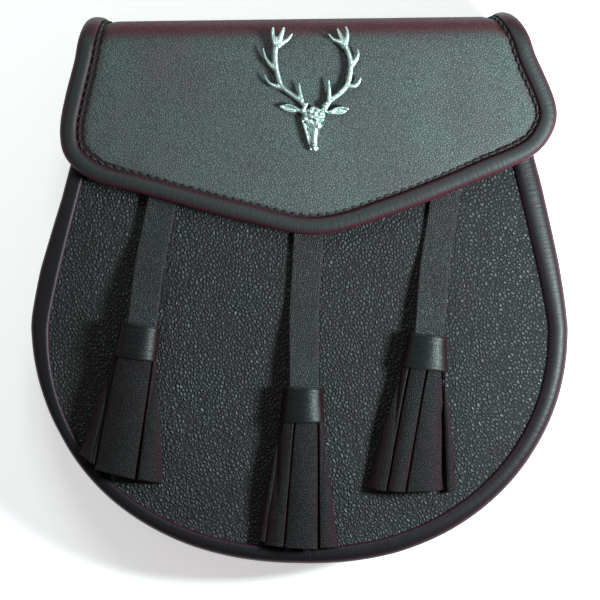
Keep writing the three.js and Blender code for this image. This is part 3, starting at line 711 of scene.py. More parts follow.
@dataclass(frozen=True)
class Leather:
    """A finish of dyed leather: pebbles parted by creases, over a fine pore grain.

    Lengths are in millimetres. A pebble's height rises with its distance from the creases round it, and the
    creases are coloured darker as painted shade.
    """

    name: str
    base: Triple
    # Colour of the creases between the pebbles, darker than the base as painted shade
    crease_shade_colour: Triple
    pebble: float
    pebble_depth: float
    pore: float = 0.35
    pore_depth: float = 0.02
    roughness: Pair = (0.42, 0.62)
    specular: float = 0.5
    slant: float = 0.0
    stretch: float = 1.3
    # Painted reflection: a maroon colour mixed in where the leather leans, and the range of uprightness over
    # which it fades in
    painted_reflection_colour: Triple | None = None
    painted_reflection_range: Pair = (0.35, 0.93)
    wrinkle: float = 0.0
    # Painted highlight: a lighter colour on rims and cut edges, where the value named edge is one
    rim_highlight_colour: Triple | None = None
    # Painted shade: the dark colour of the groove beside a binding, where the value named seam is one
    seam_shade_colour: Triple | None = None
    mottle: float = 0.25

    def material(self) -> bpy.types.Material:
        """Builds the node material.

        Returns:
            The material.
        """
        sketch = NodeSketch(self.name)
        place = sketch.place()
        cell = self.pebble * METRES_PER_MM
        warp = sketch.add("ShaderNodeTexNoise", Vector=place, Scale=1 / (2.2 * cell), Detail=2.0)
        centred = sketch.math("SUBTRACT", warp.outputs["Color"], (0.5, 0.5, 0.5), "ShaderNodeVectorMath")
        shove = sketch.add("ShaderNodeVectorMath", operation="SCALE", Vector=centred, Scale=0.9 * cell)
        moved = sketch.math("ADD", place, shove.outputs[0], "ShaderNodeVectorMath")
        mapping = sketch.add("ShaderNodeMapping", vector_type="TEXTURE", Vector=moved,
                             Rotation=(0.0, 0.0, self.slant), Scale=(1.0, self.stretch, 1.0))
        lie = mapping.outputs[0]

        cells = sketch.add("ShaderNodeTexVoronoi", feature="DISTANCE_TO_EDGE", Vector=lie,
                           Scale=1 / cell, Randomness=0.85)
        dome = sketch.spread(cells.outputs["Distance"], 0.0, 0.34)
        small = sketch.add("ShaderNodeTexVoronoi", Vector=lie, Scale=1 / (0.45 * cell))
        lowered = sketch.math("MULTIPLY", small.outputs["Distance"], -0.14)
        height = sketch.math("ADD", sketch.math("POWER", dome, 0.6), lowered)
        noise = sketch.add("ShaderNodeTexNoise", Vector=place, Scale=1 / (self.pore * METRES_PER_MM),
                           Detail=3.0)
        pores = noise.outputs["Fac"]
        normal = sketch.bump(pores, self.pore_depth, sketch.bump(height, self.pebble_depth))
        if self.wrinkle:
            normal = self.wrinkled(sketch, normal)

        broad = sketch.add("ShaderNodeTexNoise", Vector=place, Scale=45.0, Detail=4.0, Roughness=0.6)
        patches = sketch.spread(broad.outputs["Fac"], 0.3, 0.7)
        ground = sketch.blend(patches, self.tinted(0.5, -1.0, -0.5), self.tinted(-0.4, 1.0, 0.7))
        # Painted shade: the creases between the pebbles take the darker colour
        colour = sketch.blend(sketch.spread(dome, 0.12, 0.55), self.crease_shade_colour, ground)
        # Painted reflection: maroon where the leather leans away from facing up
        if self.painted_reflection_colour:
            colour = self.paint_leaning_reflection(sketch, colour)
        # Painted highlight: the rims and cut edges are lightened where light catches them
        if self.rim_highlight_colour:
            edge = sketch.math("MULTIPLY", sketch.attribute("edge"), 0.7)
            colour = sketch.blend(edge, colour, self.rim_highlight_colour)
        # Painted shade in the groove beside the binding, ragged with the pores
        if self.seam_shade_colour:
            ragged = sketch.spread(pores, 0.3, 0.7, 0.75, 1.25)
            seam = sketch.math("MULTIPLY", ragged, sketch.attribute("seam"))
            colour = sketch.blend(sketch.spread(seam, 0.35, 0.65), colour, self.seam_shade_colour)

        shine = sketch.math("ADD", sketch.math("MULTIPLY", dome, 0.7), sketch.math("MULTIPLY", patches, 0.3))
        rough = sketch.spread(shine, 0.0, 1.0, self.roughness[1], self.roughness[0])
        return sketch.shade(Normal=normal, Base_Color=colour, Roughness=rough,
                            Specular_IOR_Level=self.specular)

    def tinted(self, red: float, green: float, blue: float) -> Triple:
        """The base colour with each channel changed by a share of the mottle."""
        shares = (red, green, blue)
        return tuple(level * (1 + share * self.mottle) for level, share in zip(self.base, shares))

    def paint_leaning_reflection(self, sketch: NodeSketch, colour: Socket) -> Socket:
        """Paints a maroon reflection into the colour where the leather leans, most of all where it is rolled
        over.

        It is mixed in twice, so that it shows well before the leather stands upright.

        Args:
            sketch: The material's nodes.
            colour: Colour so far.

        Returns:
            The colour with the painted reflection.
        """
        geometry = sketch.add("ShaderNodeNewGeometry")
        axes = sketch.add("ShaderNodeSeparateXYZ", Vector=geometry.outputs["Normal"])
        upright = sketch.math("ABSOLUTE", axes.outputs["Z"], 0.0)
        leaning = sketch.math("MULTIPLY", sketch.spread(upright, *self.painted_reflection_range, 1.0, 0.0),
                              sketch.spread(upright, 0.05, 0.5, 0.3, 1.0))
        once = sketch.blend(leaning, colour, self.painted_reflection_colour)
        return sketch.blend(leaning, once, self.painted_reflection_colour)

    def wrinkled(self, sketch: NodeSketch, normal: Socket) -> Socket:
        """Adds creases that run across the piece, from noise stretched across its lie.

        Args:
            sketch: The material's nodes.
            normal: Normal so far.

        Returns:
            The normal with the creases.
        """
        follow = sketch.add("ShaderNodeMapping", vector_type="POINT",
                            Vector=sketch.attribute("lie", "Vector"), Scale=(1.1, 0.16, 1.0))
        folds = sketch.add("ShaderNodeTexNoise", Vector=follow.outputs[0], Scale=1.0, Detail=3.0,
                           Roughness=0.55, Distortion=0.4)
        return sketch.bump(sketch.spread(folds.outputs["Fac"], 0.38, 0.62), self.wrinkle, normal)


@dataclass(frozen=True)
class CastSilver:
    """A finish of cast white metal, bright where it is raised and dull in its hollows."""

    name: str
    bright: Triple = (0.44, 0.56, 0.52)
    hollow: Triple = (0.09, 0.09, 0.085)
    roughness: Pair = (0.42, 0.62)
    grain: float = 0.3
    grain_depth: float = 0.008

    def material(self) -> bpy.types.Material:
        """Builds the node material.

        Returns:
            The material.
        """
        sketch = NodeSketch(self.name)
        noise = sketch.add("ShaderNodeTexNoise", Vector=sketch.place(),
                           Scale=1 / (self.grain * METRES_PER_MM), Detail=3.0)
        grain = noise.outputs["Fac"]
        speckle = sketch.spread(grain, 0.3, 0.7, -0.15, 0.15)
        dull = sketch.spread(sketch.math("ADD", sketch.attribute("hollow"), speckle), 0.25, 0.9)
        return sketch.shade(
            Normal=sketch.bump(grain, self.grain_depth),
            Base_Color=sketch.blend(dull, self.bright, self.hollow),
            Roughness=sketch.spread(dull, 0.0, 1.0, *self.roughness),
            Metallic=1.0,
        )


@dataclass(frozen=True)
class Thread:
    """A finish of black waxed thread, with the twist of its plies along it."""

    name: str
    colour: Triple = (0.006, 0.004, 0.005)
    ply_depth: float = 0.05

    def material(self) -> bpy.types.Material:
        """Builds the node material.

        Returns:
            The material.
        """
        sketch = NodeSketch(self.name)
        wave = sketch.add("ShaderNodeTexWave", bands_direction="DIAGONAL",
                          Vector=sketch.attribute("lie", "Vector"), Scale=3.0, Distortion=0.6)
        plies = wave.outputs["Fac"]
        brighter = tuple(3 * channel for channel in self.colour)
        return sketch.shade(
            Normal=sketch.bump(plies, self.ply_depth),
            Base_Color=sketch.blend(plies, self.colour, brighter),
            Roughness=0.6,
        )


@dataclass(frozen=True)
class Finishes:
    """All finishes of the sporran."""

    panel: Leather = Leather("pebbled_panel_leather", (0.0065, 0.0072, 0.0074), (0.0004, 0.0003, 0.0003),
                             pebble=1.12, pebble_depth=0.5, pore_depth=0.01, roughness=(0.4, 1.0),
                             specular=0.5, slant=0.6, stretch=1.35)
    flap: Leather = Leather("fine_grain_flap_leather", (0.062, 0.072, 0.069), (0.032, 0.037, 0.035),
                            pebble=0.78, pebble_depth=0.18, roughness=(0.48, 0.72), slant=0.6,
                            specular=0.2, seam_shade_colour=(0.013, 0.007, 0.008),
                            painted_reflection_colour=(0.06, 0.003, 0.01), painted_reflection_range=(0.5, 0.965), mottle=0.18)
    binding: Leather = Leather("smooth_binding_leather", (0.014, 0.016, 0.016), (0.012, 0.013, 0.013),
                               pebble=0.7, pebble_depth=0.015, roughness=(0.48, 0.58), wrinkle=0.05,
                               specular=0.23, painted_reflection_colour=(0.04, 0.004, 0.01), painted_reflection_range=(0.4, 0.95))
    body_binding: Leather = Leather("smooth_piping_leather", (0.006, 0.005, 0.006),
                                    (0.004, 0.003, 0.004), pebble=0.7, pebble_depth=0.012,
                                    roughness=(0.4, 0.5), wrinkle=0.03, specular=0.2,
                                    painted_reflection_colour=(0.024, 0.003, 0.008))
    cuff: Leather = Leather("creased_cuff_leather", (0.005, 0.007, 0.0065), (0.004, 0.004, 0.004),
                            pebble=0.6, pebble_depth=0.03, roughness=(0.3, 0.42), wrinkle=0.05,
                            specular=0.14, rim_highlight_colour=(0.05, 0.06, 0.056),
                            painted_reflection_colour=(0.01, 0.002, 0.003))
    strap: Leather = Leather("matte_strap_leather", (0.006, 0.0075, 0.0072), (0.002, 0.002, 0.002),
                             pebble=0.62, pebble_depth=0.16, roughness=(0.46, 0.66), specular=0.34,
                             slant=0.6, rim_highlight_colour=(0.012, 0.013, 0.013),
                             painted_reflection_colour=(0.014, 0.002, 0.004), painted_reflection_range=(0.4, 0.97), mottle=0.6)
    fringe: Leather = Leather("matte_fringe_leather", (0.0042, 0.004, 0.0041), (0.0015, 0.001, 0.0012),
                              pebble=0.62, pebble_depth=0.16, roughness=(0.5, 0.7), specular=0.17,
                              slant=0.6, rim_highlight_colour=(0.01, 0.009, 0.009),
                              painted_reflection_colour=(0.014, 0.002, 0.005), painted_reflection_range=(0.4, 0.98), mottle=0.6)
    gusset: Leather = Leather("smooth_gusset_leather", (0.01, 0.01, 0.011), (0.006, 0.006, 0.006),
                              pebble=0.9, pebble_depth=0.03, roughness=(0.4, 0.55), wrinkle=0.06,
                              specular=0.3, painted_reflection_colour=(0.016, 0.004, 0.006))
    silver: CastSilver = CastSilver("cast_silver")
    stud: CastSilver = CastSilver("stud_nickel", roughness=(0.3, 0.5))
    thread: Thread = Thread("black_thread")


@dataclass
class BodyShape:
    """The outline and the heights of the pouch's body, from which its pieces are made.

    Seen from the front the body is a U: a quadratic curve from the mouth to the widest line on each
    side, and half a superellipse below it.
    """

    half_width: float = 93.3
    lower_height: float = 81.4
    roundness: float = 2.13
    upper_height: float = 96.5
    mouth_half_width: float = 69.5
    shoulder: float = 0.12
    depth: float = 24.0
    roll_width: float = 6.8
    slot_depth: float = 3.8
    dome: Triple = (3.4, 62.0, 2.5)
    hollow: Triple = (6.4, 30.0, 2.5)
    softening: float = 0.4
    outline: PlaneCurve = field(init=False)

    def __post_init__(self) -> None:
        """Works out the outline and the heights of the seams."""
        t = np.linspace(0.0, 1.0, 120)[:, None]
        widest = np.array([self.half_width, 0.0])
        bend = np.array([self.half_width, self.shoulder * self.upper_height])
        mouth = np.array([self.mouth_half_width, self.upper_height])
        upper = (1 - t) ** 2 * widest + 2 * t * (1 - t) * bend + t**2 * mouth
        turn = np.linspace(-math.pi / 2, 0.0, 200, endpoint=False)
        lower = superellipse(self.half_width, self.lower_height, self.roundness, turn)
        right = np.concatenate([lower, upper])
        left = right[1:][::-1] * np.array([-1.0, 1.0])
        self.outline = PlaneCurve(np.concatenate([left, right]))
        self.seam_slot = PANEL_THICK + GUSSET_THICK + 3 * GAP
        self.roll_thick = self.seam_slot + 2 * LIP_THICK
        self.back_seam = self.roll_thick / 2
        self.front_seam = self.back_seam + self.depth
        self.panel_offset = self.seam_slot / 2 - GAP - PANEL_THICK / 2
        self.gusset_offset = self.seam_slot / 2 - GAP - GUSSET_THICK / 2
        self.roll_top = self.front_seam + self.roll_thick / 2
        self.edge_inset = self.roll_width - self.slot_depth

    @staticmethod
    def rise(shape: Triple, distance: np.ndarray, rim: float) -> np.ndarray:
        """Height above the rim: h * (1 - (1 - t)^n), with t the distance past the rim over the reach.

        Args:
            shape: Height h, reach and fullness n.
            distance: Distance from the outer edge.
            rim: Width of the level rim.

        Returns:
            The height at each place.
        """
        height, reach, fullness = shape
        inward = np.clip((distance - rim) / reach, 0.0, 1.0)
        return height * (1.0 - (1.0 - inward) ** fullness)

    def domed(self, distance: np.ndarray) -> np.ndarray:
        """Height of the middle surface of the front panel at a distance from the outline."""
        return self.front_seam + self.panel_offset + self.rise(self.dome, distance, self.roll_width)

    def front_height(self, places: np.ndarray) -> np.ndarray:
        """Height of the middle surface of the front panel."""
        return self.domed(self.outline.distance(places))

    def back_height(self, places: np.ndarray) -> np.ndarray:
        """Height of the middle surface of the back panel, which is hollowed.

        Args:
            places: Places in the plane.

        Returns:
            The height at each place.
        """
        from_mouth = self.upper_height - places[..., 1] + self.roll_width
        distance = np.minimum(self.outline.distance(places), from_mouth)
        rim = self.roll_width + 2 * GUSSET_THICK + GAP
        return self.back_seam - self.panel_offset + self.rise(self.hollow, distance, rim)

    def rest_height(self, flat: np.ndarray, slope: float = 1.0,
                    raised: float | np.ndarray = 0.0) -> np.ndarray:
        """Height on which a strap or a tassel lies: the front panel, or the roll at its rim.

        It is a softened maximum of both, s * ln(exp(a/s) + exp(b/s)).

        Args:
            flat: Places in the plane.
            slope: Slope on which it climbs from the panel to the roll.
            raised: Height above the panel at which it would lie without the roll.

        Returns:
            The height at each place.
        """
        distance = self.outline.distance(flat)
        over = self.domed(distance) + PANEL_THICK / 2 + raised
        roll = self.roll_top - slope * np.maximum(0.0, distance - self.roll_width)
        return self.softening * np.logaddexp(over / self.softening, roll / self.softening)


def roll_section(width: float, slot_depth: float, slot: float, thick: float,
                 squareness: float = ROUND_ROLL, count: int = 34) -> np.ndarray:
    """Section of a rolled binding: a folded strip, round outside, whose slot holds the leather's edge.

    Its outside is a superellipse from lip to lip, cut where it meets the slot, and its inside is the
    slot. Across, 0 is the edge of the leather that it holds, and positive is outwards.

    Args:
        width: Whole width of the roll.
        slot_depth: How deep the leather's edge sits in it.
        slot: Height of the slot.
        thick: Whole thickness of the roll.
        squareness: Exponent of the superellipse.
        count: Points on the outside and on the inside.

    Returns:
        An array of twice that many points by two.
    """
    half_width = width / 2
    middle = half_width - slot_depth
    lip_height = slot / 2 + LIP_ROUND
    lip_turn = math.asin((lip_height / (thick / 2)) ** (squareness / 2))
    turn = np.linspace(math.pi - lip_turn, lip_turn - math.pi, count)
    outside = superellipse(half_width, thick / 2, squareness, turn) + np.array([middle, 0.0])
    lip, end = outside[0, 0] + LIP_STEP, SLOT_PAST_EDGE
    corners = np.array([[lip, slot / 2], [end, slot / 2], [end, -slot / 2], [lip, -slot / 2]])
    return np.concatenate([outside, resample(corners, count)[::-1]])


@dataclass
class PouchBody:
    """The two panels, the gusset and the two rolled bindings of the body."""

    shape: BodyShape
    finishes: Finishes
    panel_columns: int = 190
    panel_rows: int = 170
    roll_steps: int = 420
    roll_trim: float = 0.3
    panel_foot: float = 0.49
    # Distances from the roll between which a panel's waves set in
    seam_free: Pair = (1.0, 16.0)
    gusset_steps: int = 260
    gusset_rows: int = 90
    gusset_fold: float = 3.2
    worn_edge: float = 0.3
    front_wave: Ripple = Ripple(0.3, 34.0, 11)
    back_wave: Ripple = Ripple(0.3, 34.0, 12)
    gusset_slack: Ripple = Ripple(0.35, 16.0, 5)
    roll_dents: Ripple = Ripple(0.02, 19.0, 21)
    # Shares of the way round from the left of the mouth, and there how much the front roll swells
    # outwards, how wide it is inwards of the outline, and how square it is
    roll_table: tuple[tuple[float, float, float, float], ...] = (
        (0.0, 0.2, 6.0, 3.4), (0.11, 0.0, 6.0, 3.4), (0.165, 1.2, 6.0, 3.4), (0.2, 0.9, 6.0, 3.4),
        (0.26, -0.4, 5.6, 3.4), (0.29, -0.8, 5.4, 3.4), (0.35, -0.2, 5.4, 3.2), (0.42, 0.35, 5.5, 3.0),
        (0.5, 0.6, 5.5, 2.8), (0.57, 1.4, 5.4, 2.5), (0.61, 1.3, 5.8, 2.3), (0.7, 0.4, 7.0, 2.2),
        (0.8, 0.5, 7.3, 2.2), (0.84, 1.6, 7.0, 2.2), (0.9, 2.4, 6.4, 2.2), (1.0, 2.4, 6.0, 2.2),
    )

    def panel(self, face: Face) -> Surface:
        """A panel: rows of points from edge to edge, from the mouth down, crowded at both edges.

        Args:
            face: Which panel it is.

        Returns:
            The surface.
        """
        shape = self.shape
        share = np.linspace(0.0, self.panel_foot, self.panel_rows)
        left = shape.outline.inset(share, shape.edge_inset)
        right = shape.outline.inset(1 - share, shape.edge_inset)
        across = crowded(self.panel_columns)[None, :, None]
        places = lerp(left[:, None, :], right[:, None, :], across)
        height = shape.front_height if face is Face.FRONT else shape.back_height
        wave = self.front_wave if face is Face.FRONT else self.back_wave
        free = smooth_step(shape.outline.distance(places) - shape.roll_width, *self.seam_free)
        z = height(places) + free * wave.at(places)
        return slab(np.concatenate([places, z[..., None]], axis=-1), PANEL_THICK, self.worn_edge)

    def gusset(self) -> Surface:
        """The side wall: a flange in each seam, and between them a wall folded in as a cosine is.

        Returns:
            The surface.
        """
        shape = self.shape
        share = np.linspace(0.0, 1.0, self.gusset_steps)[:, None]
        wall = shape.roll_width + GAP + GUSSET_THICK / 2
        v = np.linspace(-1.0, 2.0, self.gusset_rows)
        up = np.clip(v, 0.0, 1.0)
        level = np.clip(np.maximum(-v, v - 1.0), 0.0, 1.0)
        fold = self.gusset_fold * np.sin(math.pi * up) ** 2
        inward = lerp(wall + fold, shape.edge_inset, level)
        place = shape.outline.inset(share, inward)
        bottom = shape.back_seam + shape.gusset_offset
        top = shape.front_seam - shape.gusset_offset
        z = lerp(bottom, top, up) + 0 * share
        slack = np.sin(math.pi * up) * self.gusset_slack.at(place)
        middle = np.concatenate([place, z[..., None]], axis=-1)
        middle[..., :2] += shape.outline.inward(share) * slack[..., None]
        return slab(middle, GUSSET_THICK, self.worn_edge)

    def roll(self, face: Face) -> Surface:
        """The rolled binding of one seam, carried round the outline from mouth to mouth.

        Args:
            face: Which panel it binds.

        Returns:
            The surface.
        """
        shape = self.shape
        trim = self.roll_trim * shape.roll_width / shape.outline.lengths[-1]
        share = np.linspace(trim, 1 - trim, self.roll_steps)
        flat = shape.outline.inset(share, shape.edge_inset)
        seam = shape.front_seam if face is Face.FRONT else shape.back_seam
        path = np.column_stack([flat, np.full(len(flat), seam)])
        size = (shape.roll_width, shape.slot_depth, shape.seam_slot, shape.roll_thick)
        round_section = roll_section(*size)
        if face is Face.BACK:
            return loft(carry(round_section, path, UP))
        knots = np.array(self.roll_table)
        swell, width, square = (np.interp(share, knots[:, 0], column)[:, None] for column in knots[:, 1:].T)
        squarer = np.clip((square - ROUND_ROLL) / (PRESSED_ROLL - ROUND_ROLL), 0.0, 1.0)[..., None]
        sections = lerp(round_section[None], roll_section(*size, squareness=PRESSED_ROLL)[None], squarer)
        inner = (width - shape.edge_inset) / shape.slot_depth
        outer = (shape.edge_inset + swell) / shape.edge_inset
        across = sections[..., 0]
        sections[..., 0] = across * np.where(across < 0, inner, outer)
        sections[..., 1] *= 1.0 - np.abs(self.roll_dents.at(path))[:, None]
        return loft(carry(sections, path, UP))

    def build(self) -> None:
        """Makes and dresses the pieces of the body."""
        leather = self.finishes.panel.material()
        piping = self.finishes.body_binding.material()
        make_piece("front_panel_leather", self.panel(Face.FRONT), leather, ("front_panel",))
        make_piece("back_panel_leather", self.panel(Face.BACK), leather, ("back_panel",))
        make_piece("gusset_leather", self.gusset(), self.finishes.gusset.material(),
                   ("gusset",))
        make_piece("front_piping", self.roll(Face.FRONT), piping, ("front_binding",))
        make_piece("back_piping", self.roll(Face.BACK), piping, ("back_binding",))


@dataclass
class Flap:
    """The flap with its rolled binding and its stitching.

    The flap leaves the back seam, turns over the mouth in a superellipse and hangs down the front to a
    point.
    """

    body: BodyShape
    finishes: Finishes
    half_width: float = 89.8
    drop: float = 64.0
    fold_reach: float = 10.8
    fold_tuck: float = 2.0
    fold_squareness: float = 2.8
    askew: float = 0.013
    crown_power: float = 3.0
    roll_width: float = 6.4
    slot_depth: float = 3.6
    fold_rows: int = 84
    front_rows: int = 116
    columns: int = 170
    stitch_pitch: float = 3.0
    stitch_length: float = 2.5
    stitch_radius: float = 0.38
    stitch_lean: float = 0.16
    stitch_gap: float = 0.15
    stitch_sunk: float = 0.25
    tip: float = 0.985
    worn_edge: float = 0.3
    easing: int = 6
    binding_steps: int = 460
    # How far past the binding its leather is pinched down, how wide and how deep, each first along the
    # lower edges and then at the upright sides
    groove_gap: Pair = (0.45, 1.2)
    groove_width: Pair = (0.8, 1.7)
    groove_depth: Pair = (0.35, 0.7)
    # Width of the band of painted shade along the seam: along the lower edges, and at the left and right
    # sides
    seam_shade_band: Triple = (0.9, 3.3, 2.3)
    puff_reach: float = 14.0
    puff_below_fold: float = 12.0
    # Shares of the drop below and above which the edge counts as lower edge and as upright side
    sides_end: Pair = (0.72, 0.5)
    puff: Ripple = Ripple(0.22, 40.0, 31)
    # Raggedness of the band of painted shade beside the binding
    seam_shade_rag: Ripple = Ripple(0.6, 2.2, 8)
    binding_swell: Ripple = Ripple(0.035, 15.0, 41)
    # Edge below the fold, from left over the point to right, as shares of the half width and the drop
    edge_shares: tuple[Pair, ...] = (
        (-0.871, 0.0), (-0.914, 0.24), (-0.934, 0.415), (-0.91, 0.568), (-0.801, 0.69),
        (-0.622, 0.763), (-0.236, 0.915), (0.072, 1.0), (0.39, 0.881), (0.711, 0.707),
        (0.91, 0.583), (0.984, 0.455), (1.0, 0.34), (0.972, 0.209), (0.904, 0.0),
    )

    def __post_init__(self) -> None:
        """Works out the edge, the heights, and the share of the edge at which it comes to its point."""
        body = self.body
        self.slot = PANEL_THICK + 2 * GAP
        self.roll_thick = self.slot + 2 * LIP_THICK
        self.edge_height = body.roll_top + GAP + self.roll_thick / 2
        dome_top = body.front_seam + body.panel_offset + PANEL_THICK / 2 + body.dome[0]
        self.centre_height = dome_top + 2 * GAP + STRAP_THICK + self.roll_thick / 2
        self.back_height = body.back_seam - body.panel_offset
        self.fold_base = body.upper_height + GAP
        self.inset = self.roll_width - self.slot_depth
        shares = np.array(self.edge_shares)
        x = shares[:, 0] * self.half_width
        y = self.fold_base + self.askew * x - shares[:, 1] * self.drop
        self.edge = PlaneCurve(spline_through(np.stack([x, y], axis=-1)))
        trial = np.linspace(0.0, 1.0, 2001)
        self.point_share = trial[np.argmin(self.edge.at(trial)[:, 1])]

    def height(self, x: np.ndarray) -> np.ndarray:
        """Height of the front part: level in the middle, falling to the sides as |x| to a power."""
        outward = np.minimum(1.0, np.abs(x) / self.half_width) ** self.crown_power
        return lerp(self.centre_height, self.edge_height, outward)

    def fold_grid(self, columns: np.ndarray) -> np.ndarray:
        """Rows of the fold, each a level line that turns round the mouth on a superellipse.

        Args:
            columns: Shares across.

        Returns:
            A grid of points.
        """
        share = np.linspace(0.0, 1.0, self.fold_rows, endpoint=False)[:, None]
        turn = math.pi * (share - 0.5)
        back_half = self.body.mouth_half_width - self.inset
        ends = self.edge.inset(np.array([0.0, 1.0]), self.inset)
        left = lerp(-back_half, ends[0, 0], share)
        right = lerp(back_half, ends[1, 0], share)
        x = lerp(left, right, columns[None, :])
        x = x - self.fold_tuck * np.cos(turn) * smooth_step(columns[None, :], 0.6, 1.0)
        arc = superellipse(1.0, 1.0, self.fold_squareness, turn)
        base = self.fold_base + self.askew * x * np.minimum(1.0, 1.0 + np.sin(turn))
        y = base + self.fold_reach * arc[..., 0]
        half_rise = (self.height(x) - self.back_height) / 2
        z = self.back_height + half_rise * (1.0 + arc[..., 1])
        return np.stack([x, y, z], axis=-1)

    def front_grid(self, columns: np.ndarray) -> np.ndarray:
        """Rows of the front, straight from a point of the left edge to one of the right edge.

        Args:
            columns: Shares across.

        Returns:
            A grid of points.
        """
        down = self.tip * np.linspace(0.0, 1.0, self.front_rows)
        left = self.edge.inset(self.point_share * down, self.inset)
        right = self.edge.inset(1 - (1 - self.point_share) * down, self.inset)
        places = lerp(left[:, None, :], right[:, None, :], columns[None, :, None])
        return np.concatenate([places, self.height(places[..., :1])], axis=-1)

    def grid(self) -> np.ndarray:
        """The middle surface from the back seam over the fold to the point.

        Returns:
            Rows of points, those of the fold first.
        """
        columns = crowded(self.columns)
        rows = np.concatenate([self.fold_grid(columns), self.front_grid(columns)])
        return settle(rows, self.easing)

    def seam_distance(self, middle: np.ndarray) -> np.ndarray:
        """How far each point of the grid is from the flap's outer edge, over the fold from its side.

        Args:
            middle: The grid.

        Returns:
            One distance for each point.
        """
        front = self.edge.distance(middle[..., :2])
        side = edge_distance(middle) + self.inset
        on_fold = np.arange(len(middle))[:, None] < self.fold_rows + self.easing
        return np.where(on_fold, side, np.minimum(front, side))

    def side_share(self, middle: np.ndarray) -> np.ndarray:
        """One at the upright sides of the flap, and zero along its lower edges."""
        fallen = (self.fold_base - middle[..., 1]) / self.drop
        return 1.0 - smooth_step(fallen, self.sides_end[1], self.sides_end[0])

    @staticmethod
    def outward_normals(middle: np.ndarray) -> np.ndarray:
        """Normals of a grid of the flap, turned away from the middle of the flap.

        Args:
            middle: The grid.

        Returns:
            One normal for each point.
        """
        normals = grid_normals(middle)
        side = (normals * (middle - middle.mean(axis=(0, 1)))).sum(axis=-1, keepdims=True)
        return normals * np.sign(side)

    def leather(self) -> Surface:
        """The flap's own leather, pinched down beside its binding, with painted shade in the groove there.

        Returns:
            The surface, with a value named seam that is one in the band of painted shade.
        """
        middle = self.grid()
        distance = self.seam_distance(middle)
        sides = self.side_share(middle)
        groove = self.roll_width + lerp(*self.groove_gap, sides)
        pinch = np.exp(-(((distance - groove) / lerp(*self.groove_width, sides)) ** 2))
        free = smooth_step(distance, groove, groove + self.puff_reach)
        level = 1.0 - smooth_step(middle[..., 1], self.fold_base - self.puff_below_fold, self.fold_base)
        puff = free * level * self.puff.at(middle[..., :2])
        rise = puff - lerp(*self.groove_depth, sides) * pinch
        moved = middle + self.outward_normals(middle) * rise[..., None]
        surface = slab(moved, PANEL_THICK, self.worn_edge)
        # Painted shade: a dark band beside the binding, wider at the sides and ragged at the stitch pitch
        teeth = np.sin(2 * math.pi * middle[..., 1] / self.stitch_pitch)
        narrow, left, right = self.seam_shade_band
        widest = np.where(middle[..., 0] < 0, left, right)
        ragged = teeth + self.seam_shade_rag.at(middle[..., :2])
        band = lerp(narrow, widest, sides) + 0.3 * sides * ragged
        seam = 1.0 - smooth_step(distance - self.roll_width, 0.55 * band, band)
        surface.values["seam"] = both_faces(seam, seam).ravel()
        return surface

    def rim(self, count: int) -> tuple[np.ndarray, np.ndarray]:
        """The path round the flap's edge and the normals of the flap there.

        Args:
            count: Number of points.

        Returns:
            The path and the normals, from the left of the back seam to its right.
        """
        middle = self.grid()
        both = np.concatenate([middle, grid_normals(middle)], axis=-1)
        round_edge = np.concatenate([both[:, 0], both[:, -1][::-1]])
        even = settle(resample(round_edge, count), 5)
        return even[:, :3], unit(even[:, 3:])

    def binding(self) -> Surface:
        """The rolled binding, carried round the edge of the flap, with a ripple in its fullness.

        Returns:
            The surface.
        """
        path, normals = self.rim(self.binding_steps)
        section = roll_section(self.roll_width, self.slot_depth, self.slot, self.roll_thick)
        if np.cross(np.gradient(path, axis=0)[5], normals[5])[0] > 0:
            normals = -normals
        swell = 1.0 + self.binding_swell.at(path)
        return loft(carry(section[None] * swell[:, None, None], path, normals))

    def stitches(self) -> Surface:
        """Black stitches in the groove inside the binding, each a little aslant and raised in its middle.

        Returns:
            All stitches as one surface.
        """
        line = self.edge_line(self.roll_width + self.stitch_radius + self.stitch_gap)
        count = int(reach_of(line[:, :3])[-1] // self.stitch_pitch)
        even = resample(line, count)
        path, normals = even[:, :3], unit(even[:, 3:])
        tangent = unit(np.gradient(path, axis=0))
        out = unit(np.cross(tangent, normals))
        turn = np.linspace(0.0, 2 * math.pi, 8, endpoint=False) + math.pi / 8
        rings = stitch_rings(self.stitch_length, self.stitch_radius, 0.5 * self.stitch_radius, 9, turn)
        rings[..., 1] += self.stitch_lean * rings[..., 0]
        axes = np.stack([tangent, out, normals], axis=1)
        places = path[:, None, None, :] + rings @ axes[:, None]
        return join([loft(stitch) for stitch in places])

    def edge_line(self, inward: float) -> np.ndarray:
        """A line on the outer face of the flap at a distance inside its outer edge, with its normals.

        Args:
            inward: Distance from the outer edge.

        Returns:
            An array of places and normals in six columns.
        """
        middle = self.grid()
        grid = np.concatenate([middle, self.outward_normals(middle)], axis=-1)
        distance = self.seam_distance(middle)
        half = self.columns // 2
        lines = []
        for columns in (slice(0, half), slice(self.columns - 1, half - 1, -1)):
            gap = distance[:, columns] - inward
            reached = (gap > 0).any(axis=1) & (gap[:, 0] < 0)
            first = np.argmax(gap > 0, axis=1)
            rows = np.flatnonzero(reached)
            after = first[rows]
            outer = gap[rows, after - 1]
            share = (outer / (outer - gap[rows, after]))[:, None]
            line = lerp(grid[:, columns][rows, after - 1], grid[:, columns][rows, after], share)
            line[:, :3] += line[:, 3:] * (PANEL_THICK / 2 - self.stitch_sunk)
            lines.append(line)
        return settle(resample(np.concatenate([lines[0], lines[1][::-1]]), 900), 4)

    def build(self) -> None:
        """Makes and dresses the flap, its binding and its stitches."""
        finishes = self.finishes
        make_piece("flap_leather", self.leather(), finishes.flap.material(), ("flap",))
        make_piece("flap_piping", self.binding(), finishes.binding.material(),
                   ("flap_binding",))
        make_piece("flap_stitches", self.stitches(), finishes.thread.material())


